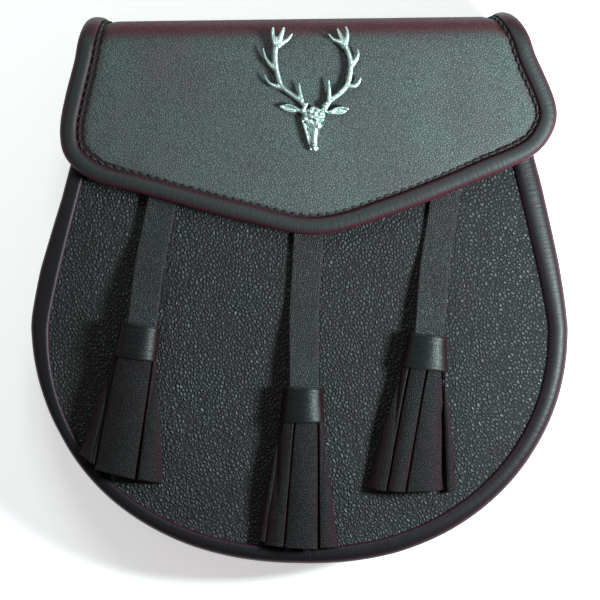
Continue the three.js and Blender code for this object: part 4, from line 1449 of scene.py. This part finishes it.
@dataclass(frozen=True)
class Strip:
    """A strip of a tassel's skirt, in millimetres across from the middle line of its cuff.

    Its sides run from the places named top, under the cuff, to those named foot, and fall is how far
    its foot lies below the cuff. Lift raises it at the foot, and tilt raises its right side over its
    left. A strip of the under layer lies on the panel.
    """

    top: Pair
    foot: Pair
    fall: Pair
    lift: float = 0.0
    tilt: float = 0.0
    under: bool = False


@dataclass(frozen=True)
class TasselPlan:
    """Where a tassel hangs and how its strips lie, from the photograph."""

    name: str
    strap_at: float
    cuff_at: float
    cuff_down: float
    cuff_spread: float
    strips: tuple[Strip, ...]


LEFT_TASSEL = TasselPlan("left", -0.522, -0.595, -0.022, 1.08, (
    Strip((-6.4, -1.5), (-12.0, -5.0), (38.0, 39.5), under=True),
    Strip((-2.0, 3.0), (-4.0, 4.5), (40.0, 40.5), under=True),
    Strip((2.0, 6.4), (5.5, 14.5), (40.6, 40.4), under=True),
    Strip((-7.0, -6.5), (-13.7, -9.5), (35.6, 38.2), -0.3, 1.6),
    Strip((-6.5, -6.1), (-9.5, -8.4), (38.0, 38.8), -0.5, 0.3),
    Strip((-6.0, 5.7), (-7.6, 6.4), (40.4, 41.5), 0.2),
    Strip((6.0, 7.1), (7.4, 16.2), (41.3, 41.4), -0.1, -0.6),
))
CENTRE_TASSEL = TasselPlan("centre", 0.026, 0.011, 0.247, 1.15, (
    Strip((-6.4, -1.0), (-12.8, -4.0), (42.0, 42.4), under=True),
    Strip((-2.5, 2.5), (-5.0, 4.0), (42.5, 42.8), under=True),
    Strip((1.0, 6.4), (3.0, 12.0), (43.0, 42.4), under=True),
    Strip((-7.0, -6.5), (-14.3, -12.0), (41.6, 42.4), -0.3, 0.9),
    Strip((-6.3, -2.7), (-11.7, -5.4), (43.2, 43.8), 0.0, 0.3),
    Strip((-2.3, 5.2), (-4.7, 6.4), (44.0, 44.2), 0.2, -0.2),
    Strip((5.7, 6.9), (7.4, 13.3), (43.8, 43.2), -0.3, -0.5),
))
RIGHT_TASSEL = TasselPlan("right", 0.536, 0.478, 0.021, 1.22, (
    Strip((-6.4, -1.0), (-13.0, -5.0), (41.4, 42.0), under=True),
    Strip((-2.5, 2.5), (-5.5, 4.5), (42.0, 42.0), under=True),
    Strip((1.0, 6.4), (4.0, 14.2), (41.5, 40.8), under=True),
    Strip((-7.3, -5.1), (-14.6, -8.2), (43.6, 43.8), -0.1, 1.0),
    Strip((-4.6, 0.8), (-7.3, -1.7), (43.7, 43.3), 0.2),
    Strip((1.3, 5.9), (-0.9, 10.8), (43.3, 41.2), 0.1, -0.3),
    Strip((6.8, 7.3), (13.3, 15.7), (41.6, 41.0), 0.3, 0.3),
))


@dataclass
class Tassel:
    """A strap, its cuff, and the skirt of leather strips that the cuff holds."""

    plan: TasselPlan
    body: BodyShape
    flap: Flap
    finishes: Finishes
    strap_width: float = 10.5
    under_flap: float = 12.0
    climb: float = 34.0
    in_cuff: float = 4.3
    cuff_ease: float = 0.55
    cuff_thick: float = 9.2
    cuff_length: float = 12.4
    cuff_squareness: float = 2.1
    cuff_flare: float = 1.08
    skirt_half_top: float = 7.3
    skirt_half_foot: float = 15.8
    skirt_height_foot: float = 4.5
    strip_bulge: float = 0.75
    climb_slope: float = 0.2
    strap_sway: float = 0.35
    strap_bends: float = 1.3
    strap_worn_edge: float = 0.45
    strip_worn_edge: float = 0.35
    # How the cuff's creases and the strips' waves are drawn out, along and across
    crease_stretch: Pair = (0.7, 2.6)
    wave_stretch: Pair = (9.0, 16.0)
    crease_share: float = 0.6
    skirt_fullness: float = 2.4
    strip_spread: float = 0.92
    strip_pinch: float = 0.35
    strap_wave: Ripple = Ripple(0.12, 18.0, 61)
    cuff_creases: Ripple = Ripple(0.05, 2.6, 71)
    strip_wave: float = 0.3
    first_seed: int = 80

    def __post_init__(self) -> None:
        """Works out the line of the strap and the places of the cuff and of its mouth."""
        top_x = self.plan.strap_at * self.body.half_width
        edge = self.flap.edge.at(np.linspace(0.0, 1.0, 400))
        near = np.abs(edge[:, 0] - top_x) < self.strap_width / 2
        self.top = np.array([top_x, edge[near, 1].min()])
        self.cuff_top = np.array([self.plan.cuff_at * self.body.half_width,
                                  -self.plan.cuff_down * self.body.lower_height])
        self.down = unit(self.cuff_top - self.top)
        self.across = np.array([-self.down[1], self.down[0]])
        self.cuff_width = self.strap_width + 2 * (CUFF_WALL + self.cuff_ease)
        self.mouth = self.cuff_axis(self.cuff_length)[0]

    def cuff_axis(self, distance: np.ndarray) -> np.ndarray:
        """Points of the cuff's middle line at distances below its top, clear of the panel.

        Args:
            distance: Distances below the cuff's top.

        Returns:
            One point for each distance.
        """
        distance = np.atleast_1d(distance).astype(float)
        flat = self.cuff_top + self.down * distance[:, None]
        z = self.body.rest_height(flat) + 2 * GAP + self.cuff_flare * self.cuff_thick / 2
        return np.column_stack([flat, z])

    def strap(self) -> Surface:
        """The strap: it lies on the front panel, then rises into its cuff, with worn edges.

        Returns:
            The surface.
        """
        start = self.top - self.down * self.under_flap
        end = self.cuff_top + self.down * self.in_cuff
        total = float(np.linalg.norm(end - start))
        along = np.linspace(0.0, 1.0, 120)[:, None]
        across = (crowded(24) - 0.5)[None, :] * self.strap_width
        flat = (start + (end - start) * along)[:, None, :] + across[..., None] * self.across
        rest = self.body.rest_height(flat)
        middle_rest = rest[:, len(across[0]) // 2][:, None]
        rest = lerp(rest, middle_rest, 0.5)
        cuff_from = total - self.in_cuff
        axis_height = self.cuff_axis(0.0)[0, 2] - self.body.rest_height(self.cuff_top) - GAP
        risen = smooth_step(along * total, cuff_from - self.climb, cuff_from)
        z = rest + lerp(GAP + STRAP_THICK / 2, axis_height, risen)
        z = z + self.strap_wave.at(flat)
        sway = self.strap_sway * np.sin(2 * math.pi * along[..., None] * self.strap_bends) * self.across
        middle = np.concatenate([flat + sway, z[..., None]], axis=-1)
        return slab(middle, STRAP_THICK, self.strap_worn_edge)

    def cuff(self) -> Surface:
        """The cuff: a closed oval band with rounded rims and creases that run round it.

        Its section along is a loop of stations, each a distance down the cuff and a distance in from
        its outer face; the outer face is dented by a ripple that runs mostly round the cuff.

        Returns:
            The surface, with a value named edge that is one on its rims.
        """
        rim = CUFF_WALL / 2
        length = self.cuff_length
        turn = np.linspace(0.0, math.pi, 7)
        sine, cosine = rim * np.sin(turn), rim * np.cos(turn)
        bottom_rim = np.stack([length - rim + sine, rim - cosine], axis=-1)
        top_rim = np.stack([rim - sine, rim + cosine], axis=-1)
        outer = np.stack([np.linspace(rim, length - rim, 34)[1:-1], np.zeros(32)], axis=-1)
        inner = np.stack([np.linspace(length - rim, rim, 12)[1:-1], np.full(10, CUFF_WALL)], axis=-1)
        loop = np.concatenate([outer, bottom_rim, inner, top_rim])
        around = np.linspace(0.0, 2 * math.pi, 72, endpoint=False)
        axis = self.cuff_axis(loop[:, 0])
        share = loop[:, :1] / length
        size = lerp(1.0, self.cuff_flare, share)
        down, turns = self.crease_stretch
        wound = np.broadcast_arrays(loop[:, :1] / down, np.sin(around) * turns, np.cos(around) * turns)
        face = (loop[:, 1:] < 0.02) * 1.0
        deepest = self.crease_share * self.cuff_creases.amount
        creases = self.cuff_creases.at(np.stack(wound, axis=-1)) + deepest
        inset = loop[:, 1:] + face * creases
        wide = lerp(1.0, self.plan.cuff_spread, share**1.5)
        oval = superellipse(1.0, 1.0, self.cuff_squareness, around)[None]
        sideways = (wide * self.cuff_width / 2 - inset) * oval[..., 0]
        upwards = (size * self.cuff_thick / 2 - inset) * oval[..., 1]
        across = np.array([*self.across, 0.0])
        rings = axis[:, None, :] + sideways[..., None] * across
        rings = rings + upwards[..., None] * UP
        surface = loft(rings, closed_path=True)
        rims = 1.0 - np.abs(loop[:, 1] - rim) / rim
        surface.values["edge"] = np.repeat(np.clip(rims, 0.0, 1.0), len(around))
        return surface

    def skirt_height(self, across: np.ndarray, below: np.ndarray, flat: np.ndarray) -> np.ndarray:
        """Height of the skirt's outer surface.

        Under the cuff it is an ellipse about the cuff's middle line, at the feet a low arch of the
        panel, h * (1 - |a/w|^n), and between them a mix of both.

        Args:
            across: Distance from the middle line.
            below: Share of the way from the cuff to the feet.
            flat: Place in the plane.

        Returns:
            The height at each place.
        """
        half_up = self.cuff_thick / 2 - CUFF_WALL - GAP
        near = np.sqrt(np.maximum(1.0 - (across / self.skirt_half_top) ** 2, 0.0))
        at_top = self.mouth[2] + half_up * near - STRIP_THICK / 2
        far = 1.0 - np.minimum(np.abs(across) / self.skirt_half_foot, 1.0) ** self.skirt_fullness
        rest = self.body.rest_height(flat, self.climb_slope, self.skirt_height_foot * far)
        at_foot = rest + GAP + STRIP_THICK / 2
        return lerp(at_top, at_foot, smooth_step(below, 0.0, 0.9))

    def strip(self, strip: Strip, seed: int) -> Surface:
        """One strip: rows of points between its two sides, on the skirt's surface or on the panel.

        Args:
            strip: Its sides, fall and layer.
            seed: Seed of its unevenness.

        Returns:
            The surface.
        """
        inside = 0.6 * self.cuff_length
        s = np.linspace(0.0, 1.0, 90)[:, None]
        t = crowded(20)[None, :]
        fall = lerp(strip.fall[0], strip.fall[1], t)
        distance = lerp(-inside, fall, s)
        below = np.clip(distance / fall, 0.0, 1.0)
        spread = below**self.strip_spread
        left = lerp(strip.top[0], strip.foot[0], spread)
        right = lerp(strip.top[1], strip.foot[1], spread)
        pinched = 1.0 - self.strip_pinch * smooth_step(-distance, 0.0, inside)
        across = lerp(left, right, t) * pinched
        flat = self.mouth[:2] + distance[..., None] * self.down + across[..., None] * self.across
        if strip.under:
            low = self.body.rest_height(flat, self.climb_slope) + GAP + STRIP_THICK / 2
            start = self.mouth[2] - 0.5 * (self.cuff_thick / 2 - CUFF_WALL)
            z = lerp(start, low, smooth_step(below, 0.0, 0.8))
        else:
            bulge = self.strip_bulge * (1.0 - (2.0 * t - 1.0) ** 2)
            shaped = strip.lift + strip.tilt * (t - 0.5) + bulge
            z = self.skirt_height(across, below, flat) + shaped * smooth_step(below, 0.05, 0.6)
            down, sideways = self.wave_stretch
            wave = Ripple(self.strip_wave, 2.2, seed)
            uneven = wave.at(np.stack([distance / down, across / sideways], axis=-1))
            z = z + uneven * smooth_step(below, 0.15, 0.7)
        middle = np.concatenate([flat, z[..., None]], axis=-1)
        return slab(middle, STRIP_THICK, self.strip_worn_edge)

    def head(self) -> Surface:
        """The rolled core of the tassel inside the cuff, a closed oval that ends just below it.

        Returns:
            The surface.
        """
        stations = np.linspace(self.in_cuff + 1.6, self.cuff_length + 1.2, 8)
        inset = CUFF_WALL + STRIP_THICK + GAP
        half_width = self.cuff_width / 2 - inset
        section = superellipse(half_width, self.cuff_thick / 2 - inset, 2.0, two_rows(0.05, 16))
        return loft(carry(section, self.cuff_axis(stations), UP))

    def build(self) -> None:
        """Makes and dresses the strap, the cuff and the tassel."""
        name = self.plan.name
        matte = self.finishes.strap.material()
        make_piece(f"strap_{name}_leather", self.strap(), matte, (f"strap_{name}",))
        make_piece(f"cuff_{name}_leather", self.cuff(), self.finishes.cuff.material(),
                   (f"cuff_{name}",))
        strips = [self.strip(strip, self.first_seed + k) for k, strip in enumerate(self.plan.strips)]
        head = self.head()
        head.values["edge"] = np.zeros(len(head.points))
        make_piece(f"tassel_{name}_leather", join(strips + [head]), self.finishes.fringe.material(),
                   (f"tassel_{name}",))


@dataclass(frozen=True)
class Rod:
    """A beam or a tine of an antler: places right of and above the badge's centre, and radii."""

    path: tuple[Pair, ...]
    radii: Pair
    heights: Pair


@dataclass(frozen=True)
class Lobe:
    """An ellipsoid of the head: its centre, its half axes and its turn in the plane in degrees."""

    centre: Triple
    halves: Triple
    turn: float = 0.0


@dataclass
class StagBadge:
    """The cast stag's head: antlers, ears and head melted into one skin, then chased."""

    flap: Flap
    finishes: Finishes
    centre_x: float = 4.2
    below_fold: float = 14.0
    voxel: float = 0.16
    stoutness: float = 1.14
    taper: float = 1.1
    easing: int = 3
    smoothing: int = 14
    hollow_range: Pair = (0.02, 0.2)
    rod_dents: Ripple = Ripple(0.06, 2.4, 3)
    skin_dents: Ripple = Ripple(0.04, 0.9, 15)
    rods: tuple[Rod, ...] = (
        Rod(((-2.1, -5.4), (-4.1, -3.3), (-7.1, -1.1), (-9.8, 1.0), (-11.1, 2.9), (-11.8, 5.3),
             (-12.5, 8.3), (-12.8, 11.3), (-12.75, 14.3), (-12.3, 16.7)), (0.84, 0.9), (1.6, 1.9)),
        Rod(((-3.6, -3.2), (-4.25, 0.3), (-4.5, 3.0)), (0.9, 0.2), (1.7, 2.0)),
        Rod(((-10.4, 1.2), (-13.6, 2.1), (-15.5, 3.6), (-16.5, 5.8)), (0.95, 0.2), (1.6, 1.8)),
        Rod(((-12.4, 7.4), (-14.7, 9.5), (-16.3, 12.0), (-17.05, 15.1)), (0.98, 0.2), (1.7, 1.9)),
        Rod(((-12.6, 15.8), (-13.4, 18.4), (-13.65, 20.4), (-13.5, 22.3)), (0.95, 0.32), (1.9, 1.9)),
        Rod(((-12.0, 16.4), (-11.0, 18.6), (-10.2, 20.6), (-9.75, 22.3)), (1.0, 0.35), (1.9, 1.9)),
        Rod(((-12.0, 15.6), (-10.2, 16.9), (-8.4, 18.0), (-6.8, 20.1)), (1.05, 0.2), (1.9, 1.9)),
        Rod(((4.6, -5.6), (6.3, -3.3), (9.3, -1.1), (11.9, 1.7), (13.1, 5.2), (13.5, 8.8),
             (13.25, 11.3), (12.3, 14.3), (11.2, 16.4)), (0.86, 0.86), (1.6, 1.9)),
        Rod(((5.9, -3.6), (6.0, 0.4), (5.75, 4.0)), (0.9, 0.3), (1.7, 2.0)),
        Rod(((12.2, 1.8), (14.9, 1.9), (16.3, 3.1), (17.05, 4.9)), (0.98, 0.2), (1.6, 1.8)),
        Rod(((13.5, 8.6), (15.4, 11.0), (16.1, 12.8), (15.95, 14.7)), (0.95, 0.22), (1.7, 1.9)),
        Rod(((12.0, 15.4), (9.7, 17.0), (7.4, 18.0), (5.8, 20.0)), (1.0, 0.2), (1.9, 1.9)),
        Rod(((11.4, 16.2), (10.2, 18.6), (9.4, 20.4), (8.8, 21.9)), (0.9, 0.24), (1.9, 1.9)),
        Rod(((11.5, 15.8), (12.1, 18.0), (12.4, 20.2), (11.7, 22.5)), (0.95, 0.3), (1.9, 1.9)),
        Rod(((-3.2, -9.0), (-2.7, -12.0), (-1.8, -15.2), (-1.0, -18.6)), (0.62, 0.4), (1.7, 1.8)),
        Rod(((1.2, -11.4), (0.9, -14.0), (0.75, -17.2), (0.8, -19.2)), (1.2, 1.05), (2.2, 1.9)),
    )
    lobes: tuple[Lobe, ...] = (
        Lobe((-12.1, 16.9, 1.8), (1.6, 2.2, 0.85), 12.0),
        Lobe((11.3, 16.7, 1.8), (1.5, 2.1, 0.85), -12.0),
        Lobe((0.6, -8.4, 0.8), (4.2, 2.9, 2.3)),
        Lobe((0.4, -11.2, 0.9), (3.6, 3.1, 2.2)),
        Lobe((0.3, -14.0, 0.9), (2.4, 3.3, 2.1)),
        Lobe((0.35, -17.0, 0.9), (1.75, 3.3, 1.9)),
        Lobe((0.65, -19.8, 1.0), (1.85, 1.35, 1.6)),
        Lobe((-2.6, -5.6, 1.6), (1.5, 0.7, 1.35), 40.0),
        Lobe((-2.0, -4.6, 1.5), (1.3, 0.55, 1.25), 40.0),
        Lobe((-3.1, -6.8, 1.5), (1.5, 0.9, 1.4), 30.0),
        Lobe((4.4, -5.4, 1.6), (1.4, 0.62, 1.3), -35.0),
        Lobe((5.0, -4.5, 1.5), (1.3, 0.52, 1.2), -35.0),
        Lobe((4.2, -6.6, 1.5), (1.4, 0.8, 1.2), -30.0),
        Lobe((0.5, -5.9, 2.4), (1.2, 0.85, 1.0), 20.0),
        Lobe((1.9, -6.4, 2.7), (1.2, 0.8, 1.0), -30.0),
        Lobe((-0.5, -7.1, 2.8), (1.1, 0.8, 0.9), 40.0),
        Lobe((2.9, -7.6, 2.7), (1.2, 0.8, 1.0), -15.0),
        Lobe((1.0, -7.7, 3.1), (1.05, 0.8, 0.9), 35.0),
        Lobe((-0.3, -8.9, 3.0), (1.0, 0.8, 0.9), -20.0),
        Lobe((2.5, -9.0, 3.0), (1.15, 0.8, 0.9), 20.0),
        Lobe((1.2, -9.5, 3.2), (1.0, 0.85, 0.85), -30.0),
        Lobe((2.0, -11.7, 2.7), (1.5, 1.9, 1.05), -8.0),
        Lobe((-9.2, -5.6, 1.6), (2.3, 0.85, 0.6), -6.0),
        Lobe((-7.6, -5.95, 1.6), (2.9, 1.5, 0.7), -11.0),
        Lobe((-5.6, -6.35, 1.5), (2.3, 0.85, 0.7), -14.0),
        Lobe((11.0, -6.35, 1.6), (2.0, 0.85, 0.6), 10.0),
        Lobe((9.5, -6.8, 1.6), (2.7, 1.5, 0.7), 12.0),
        Lobe((7.4, -7.1, 1.5), (2.2, 0.9, 0.7), 14.0),
        Lobe((-2.5, -9.6, 2.4), (0.75, 0.6, 0.7), -30.0),
        Lobe((3.7, -10.0, 2.1), (0.7, 0.6, 0.7), 30.0),
    )
    # Hollows pressed into the skin after melting, each with its depth
    hollows: tuple[tuple[Lobe, float], ...] = (
        (Lobe((-7.9, -5.9, 2.4), (2.6, 0.8, 2.0), -11.0), 0.6),
        (Lobe((9.8, -6.75, 2.4), (2.4, 0.8, 2.0), 12.0), 0.6),
        (Lobe((-2.5, -10.7, 2.8), (0.8, 0.35, 1.6), -30.0), 0.5),
        (Lobe((3.6, -11.1, 2.2), (0.7, 0.35, 1.6), 30.0), 0.5),
        (Lobe((-1.3, -13.6, 2.4), (0.32, 2.9, 1.8), 20.0), 0.5),
        (Lobe((0.7, -18.5, 2.6), (1.6, 0.25, 1.4)), 0.25),
        (Lobe((-0.1, -20.1, 2.0), (0.35, 0.4, 1.4), 20.0), 0.35),
        (Lobe((1.5, -20.0, 2.0), (0.35, 0.4, 1.4), -20.0), 0.35),
    )

    def rod(self, rod: Rod) -> Surface:
        """A round rod along a spline, tapering between its radii as the share to a power.

        Args:
            rod: Its path, radii and heights.

        Returns:
            The surface.
        """
        flat = spline_through(np.array(rod.path), 10)
        share = np.linspace(0.0, 1.0, len(flat))
        z = lerp(rod.heights[0], rod.heights[1], share)
        path = np.column_stack([flat, z])
        radius = self.stoutness * lerp(rod.radii[0], rod.radii[1], share**self.taper)
        radius = radius * (1.0 + self.rod_dents.at(path))
        turn = two_rows(0.2, 7)
        circle = np.stack([np.cos(turn), np.sin(turn)], axis=-1)
        return loft(carry(circle[None] * radius[:, None, None], path, UP))

    @staticmethod
    def lobe(lobe: Lobe) -> Surface:
        """An ellipsoid from rings between two small end rings.

        Args:
            lobe: Its centre, half axes and turn.

        Returns:
            The surface.
        """
        rise = np.linspace(-math.pi / 2 + 0.08, math.pi / 2 - 0.08, 13)[:, None]
        turn = two_rows(0.15, 9)[None, :]
        ball = np.stack(np.broadcast_arrays(np.sin(rise), np.cos(rise) * np.cos(turn),
                                            np.cos(rise) * np.sin(turn)), axis=-1)
        return loft(turned(ball * np.array(lobe.halves), lobe.turn) + np.array(lobe.centre))

    def melt(self, parts: Surface) -> tuple[np.ndarray, np.ndarray]:
        """One skin round overlapping closed parts, by a voxel remesh.

        Args:
            parts: The parts joined as one mesh, in millimetres.

        Returns:
            The points and the quads of the skin.
        """
        mesh = bpy.data.meshes.new("badge_parts")
        mesh.from_pydata(parts.points.tolist(), [], parts.quads.tolist())
        holder = bpy.data.objects.new("badge_parts", mesh)
        bpy.context.scene.collection.objects.link(holder)
        remesh = holder.modifiers.new("melt", "REMESH")
        remesh.mode = "VOXEL"
        remesh.voxel_size = self.voxel
        graph = bpy.context.evaluated_depsgraph_get()
        skin = holder.evaluated_get(graph).to_mesh()
        points = np.empty(len(skin.vertices) * 3)
        skin.vertices.foreach_get("co", points)
        corners = np.empty(len(skin.loops), dtype=np.int64)
        skin.loops.foreach_get("vertex_index", corners)
        holder.evaluated_get(graph).to_mesh_clear()
        bpy.data.objects.remove(holder)
        bpy.data.meshes.remove(mesh)
        return points.reshape(-1, 3), corners.reshape(-1, 4)

    @staticmethod
    def relax(points: np.ndarray, quads: np.ndarray, passes: int) -> np.ndarray:
        """The mean of each point's neighbours mixed half and half with the point, several times.

        Args:
            points: Points of a mesh.
            quads: Its quads.
            passes: Number of passes.

        Returns:
            The eased points.
        """
        starts = quads.ravel()
        ends = np.roll(quads, -1, axis=1).ravel()
        degree = np.bincount(starts, minlength=len(points))[:, None]
        eased = points
        for _ in range(passes):
            total = np.stack([np.bincount(starts, eased[ends, k], len(points)) for k in range(3)], axis=-1)
            eased = 0.5 * eased + 0.5 * total / np.maximum(degree, 1)
        return eased

    def surface(self) -> Surface:
        """The melted skin with its hollows, and a value named hollow that is one where it is recessed.

        A hollow moves the skin down by depth * exp(-(distance in half axes)^4), and the value is how
        far the skin lies below a much smoothed copy of itself.

        Returns:
            The surface, in its place on the flap.
        """
        parts = join([self.rod(rod) for rod in self.rods] + [self.lobe(lobe) for lobe in self.lobes])
        points, quads = self.melt(parts)
        points = self.relax(points, quads, self.easing)
        for lobe, depth in self.hollows:
            inside = turned(points - np.array(lobe.centre), -lobe.turn) / np.array(lobe.halves)
            points[:, 2] -= depth * np.exp(-((inside**2).sum(axis=-1) ** 2))
        points[:, 2] = np.maximum(points[:, 2], 0.0)
        points[:, 2] += self.skin_dents.at(points) * (points[:, 2] > 0.05)
        sunk = self.relax(points, quads, self.smoothing)[:, 2] - points[:, 2]
        hollow = smooth_step(sunk, *self.hollow_range)
        y = self.flap.fold_base - self.below_fold
        z = float(self.flap.height(np.array([self.centre_x]))[0]) + PANEL_THICK / 2 + GAP
        placed = points + np.array([self.centre_x, y, z])
        return Surface(placed, quads, {"hollow": hollow}).outward()

    def build(self) -> None:
        """Makes and dresses the badge."""
        silver = self.finishes.silver.material()
        make_piece("stag_badge_silver", self.surface(), silver, ("stag_badge",))


@dataclass
class Fastenings:
    """The belt loop on the back, with its stitches, and the press stud under the flap."""

    body: BodyShape
    flap: Flap
    finishes: Finishes
    loop_length: float = 62.0
    tunnel_height: float = 32.0
    flange: float = 9.0
    slope: float = 4.0
    loop_thick: float = 2.0
    above_floor: float = 0.4
    stitch_pitch: float = 3.2
    stitch_length: float = 2.5
    stitch_radius: float = 0.32
    stitch_rise: float = -0.1
    stitch_rows: Pair = (2.2, 7.0)
    loop_worn_edge: float = 0.5
    stud_radius: float = 6.0
    stud_above_point: float = 21.0

    def seat(self) -> float:
        """Height at which the flanges meet the back panel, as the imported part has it."""
        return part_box("belt_loop")[1].z / METRES_PER_MM

    def loop(self) -> Surface:
        """The belt loop: a band carried up the back from flange to flange, off the panel between.

        Returns:
            The surface.
        """
        half = self.tunnel_height / 2
        whole = half + self.slope + self.flange
        high = self.seat() - self.loop_thick / 2
        low = self.above_floor + self.loop_thick / 2
        knots = np.array([[-whole, high], [-half - self.slope, high], [-half, low], [half, low],
                          [half + self.slope, high], [whole, high]])
        line = settle(resample(knots, 200), 12)
        x = (crowded(40) - 0.5)[None, :] * self.loop_length + 0 * line[:, :1]
        y = line[:, :1] + BELT_LOOP_CENTRE_Y + 0 * x
        middle = np.stack([x, y, line[:, 1:] + 0 * x], axis=-1)
        return slab(middle, self.loop_thick, self.loop_worn_edge)

    def loop_stitches(self) -> Surface:
        """Two rows of stitches on each flange of the belt loop, seen from the back.

        Returns:
            All stitches as one surface.
        """
        half = self.tunnel_height / 2 + self.slope
        rows = [sign * (half + offset) for sign in (-1, 1) for offset in self.stitch_rows]
        count = int((self.loop_length - 6.0) // self.stitch_pitch)
        x = (np.arange(count) - (count - 1) / 2) * self.stitch_pitch
        z = self.seat() - self.loop_thick
        stitch = stitch_rings(self.stitch_length, self.stitch_radius, self.stitch_rise, 7, two_rows(0.3, 4))
        places = [np.array([place, BELT_LOOP_CENTRE_Y + row, z]) for row in rows for place in x]
        return join([loft(stitch + place) for place in places])

    def stud(self) -> Surface:
        """The press stud: a profile turned about its axis, with a domed cap and a rolled rim.

        Returns:
            The surface, with a value named hollow for its recesses.
        """
        point = self.flap.edge.at(self.flap.point_share)
        y = point[1] + self.stud_above_point
        bottom = float(self.body.rest_height(np.array([point[0], y]))) + GAP
        reach = np.abs(point[:1]) + self.stud_radius
        top = float(self.flap.height(reach)[0]) - PANEL_THICK / 2 - GAP
        profile = np.array([[0.02, 0.0], [0.7, 0.0], [0.96, 0.05], [1.0, 0.25], [0.94, 0.42], [0.72, 0.46],
                            [0.62, 0.5], [0.66, 0.58], [0.94, 0.62], [1.0, 0.78], [0.95, 0.93],
                            [0.7, 0.97], [0.35, 1.0], [0.02, 1.0]])
        dense = spline_through(profile, 4)
        turn = two_rows(0.05, 24)
        radius = np.maximum(dense[:, :1], 0.01) * self.stud_radius
        x = radius * np.cos(turn) + point[0]
        ring_y = radius * np.sin(turn) + y
        z = lerp(bottom, top, np.clip(dense[:, 1:], 0.0, 1.0)) + 0 * turn
        surface = loft(np.stack([x, ring_y, z], axis=-1))
        surface.values["hollow"] = np.repeat(smooth_step(0.9 - dense[:, 0], 0.0, 0.3) * 0.5, len(turn))
        return surface

    def build(self) -> None:
        """Makes and dresses the belt loop, its stitches and the press stud."""
        finishes = self.finishes
        make_piece("belt_loop_leather", self.loop(), finishes.gusset.material(), ("belt_loop",))
        make_piece("belt_loop_stitches", self.loop_stitches(), finishes.thread.material())
        make_piece("press_stud_metal", self.stud(), finishes.stud.material(), ("press_stud",))


@dataclass(frozen=True)
class SoftLight:
    """A square soft light that looks at its aim, the middle of the sporran."""

    name: str
    place: Triple
    size: float
    power: float
    colour: Triple
    aim: Triple = (0.0, 0.0, 0.03)

    def build(self) -> None:
        """Makes the light, turned towards the sporran."""
        light = bpy.data.lights.new(self.name, "AREA")
        light.shape = "SQUARE"
        light.size = self.size
        light.energy = self.power
        light.color = self.colour
        holder = bpy.data.objects.new(self.name, light)
        holder.location = self.place
        way = Vector(self.aim) - Vector(self.place)
        holder.rotation_euler = way.to_track_quat("-Z", "Y").to_euler()
        bpy.context.scene.collection.objects.link(holder)


@dataclass
class Studio:
    """The pale floor, the soft lights and the camera, which looks straight down on the sporran."""

    camera_distance: float = 3.0
    front_height: float = 0.033
    view_width: float = 0.2095
    view_centre: Pair = (0.0, -0.0044)
    sensor: float = 36.0
    farthest: float = 20.0
    floor_size: float = 6.0
    floor_points: int = 9
    world_strength: float = 0.15
    world_colour: tuple[float, ...] = (1.0, 0.78, 0.83, 1.0)
    floor_glow: float = 0.5
    lights: tuple[SoftLight, ...] = (
        SoftLight("right_light", (0.24, -0.02, 0.24), 0.07, 3.2, (0.82, 0.98, 1.0)),
        SoftLight("upper_light", (-0.1, 0.34, 0.44), 0.2, 1.15, (0.84, 1.0, 0.98)),
        SoftLight("left_light", (-0.42, 0.16, 0.4), 0.4, 0.4, (0.84, 1.0, 0.98)),
    )

    def floor(self) -> None:
        """A large level sheet, computed as a small grid of points."""
        line = np.linspace(-self.floor_size / 2, self.floor_size / 2, self.floor_points)
        x, y = np.meshgrid(line, line)
        places = np.stack([x.ravel(), y.ravel(), np.zeros(x.size)], axis=-1)
        mesh = bpy.data.meshes.new("studio_floor")
        mesh.from_pydata(places.tolist(), [], grid_quads(len(line), len(line)).tolist())
        sketch = NodeSketch("studio_floor")
        cloud = sketch.add("ShaderNodeTexNoise", Vector=sketch.place(), Scale=3.0, Detail=2.0)
        colour = sketch.blend(cloud.outputs["Fac"], (0.9, 0.9, 0.9), (0.92, 0.92, 0.92))
        mesh.materials.append(sketch.shade(Base_Color=colour, Roughness=0.95, Specular_IOR_Level=0.1,
                                           Emission_Color=(1.0, 1.0, 1.0),
                                           Emission_Strength=self.floor_glow))
        floor = bpy.data.objects.new("studio_floor", mesh)
        bpy.context.scene.collection.objects.link(floor)

    def camera(self) -> None:
        """A long lens straight above, framed so that the photograph's scale holds at the front."""
        data = bpy.data.cameras.new("photo_camera")
        data.sensor_width = self.sensor
        data.lens = self.sensor * self.camera_distance / self.view_width
        data.clip_end = self.farthest
        camera = bpy.data.objects.new("photo_camera", data)
        camera.location = (*self.view_centre, self.front_height + self.camera_distance)
        bpy.context.scene.collection.objects.link(camera)
        bpy.context.scene.camera = camera

    def world(self) -> None:
        """An even pale surround."""
        world = bpy.data.worlds.new("studio_world")
        world.use_nodes = True
        background = world.node_tree.nodes["Background"]
        background.inputs["Color"].default_value = self.world_colour
        background.inputs["Strength"].default_value = self.world_strength
        bpy.context.scene.world = world
        bpy.context.scene.view_settings.view_transform = "Standard"

    def build(self) -> None:
        """Makes the floor, the camera, the surround and the lights."""
        self.floor()
        self.camera()
        self.world()
        for light in self.lights:
            light.build()
        LOG.info("studio: %d lights", len(self.lights))


def main() -> None:
    """Builds the studio and then the sporran, piece by piece."""
    logging.basicConfig(level=logging.INFO, format="%(name)s: %(message)s")
    finishes = Finishes()
    shape = BodyShape()
    flap = Flap(shape, finishes)
    Studio().build()
    PouchBody(shape, finishes).build()
    flap.build()
    StagBadge(flap, finishes).build()
    for plan in (LEFT_TASSEL, CENTRE_TASSEL, RIGHT_TASSEL):
        Tassel(plan, shape, flap, finishes).build()
    Fastenings(shape, flap, finishes).build()


if __name__ == "__main__":
    main()
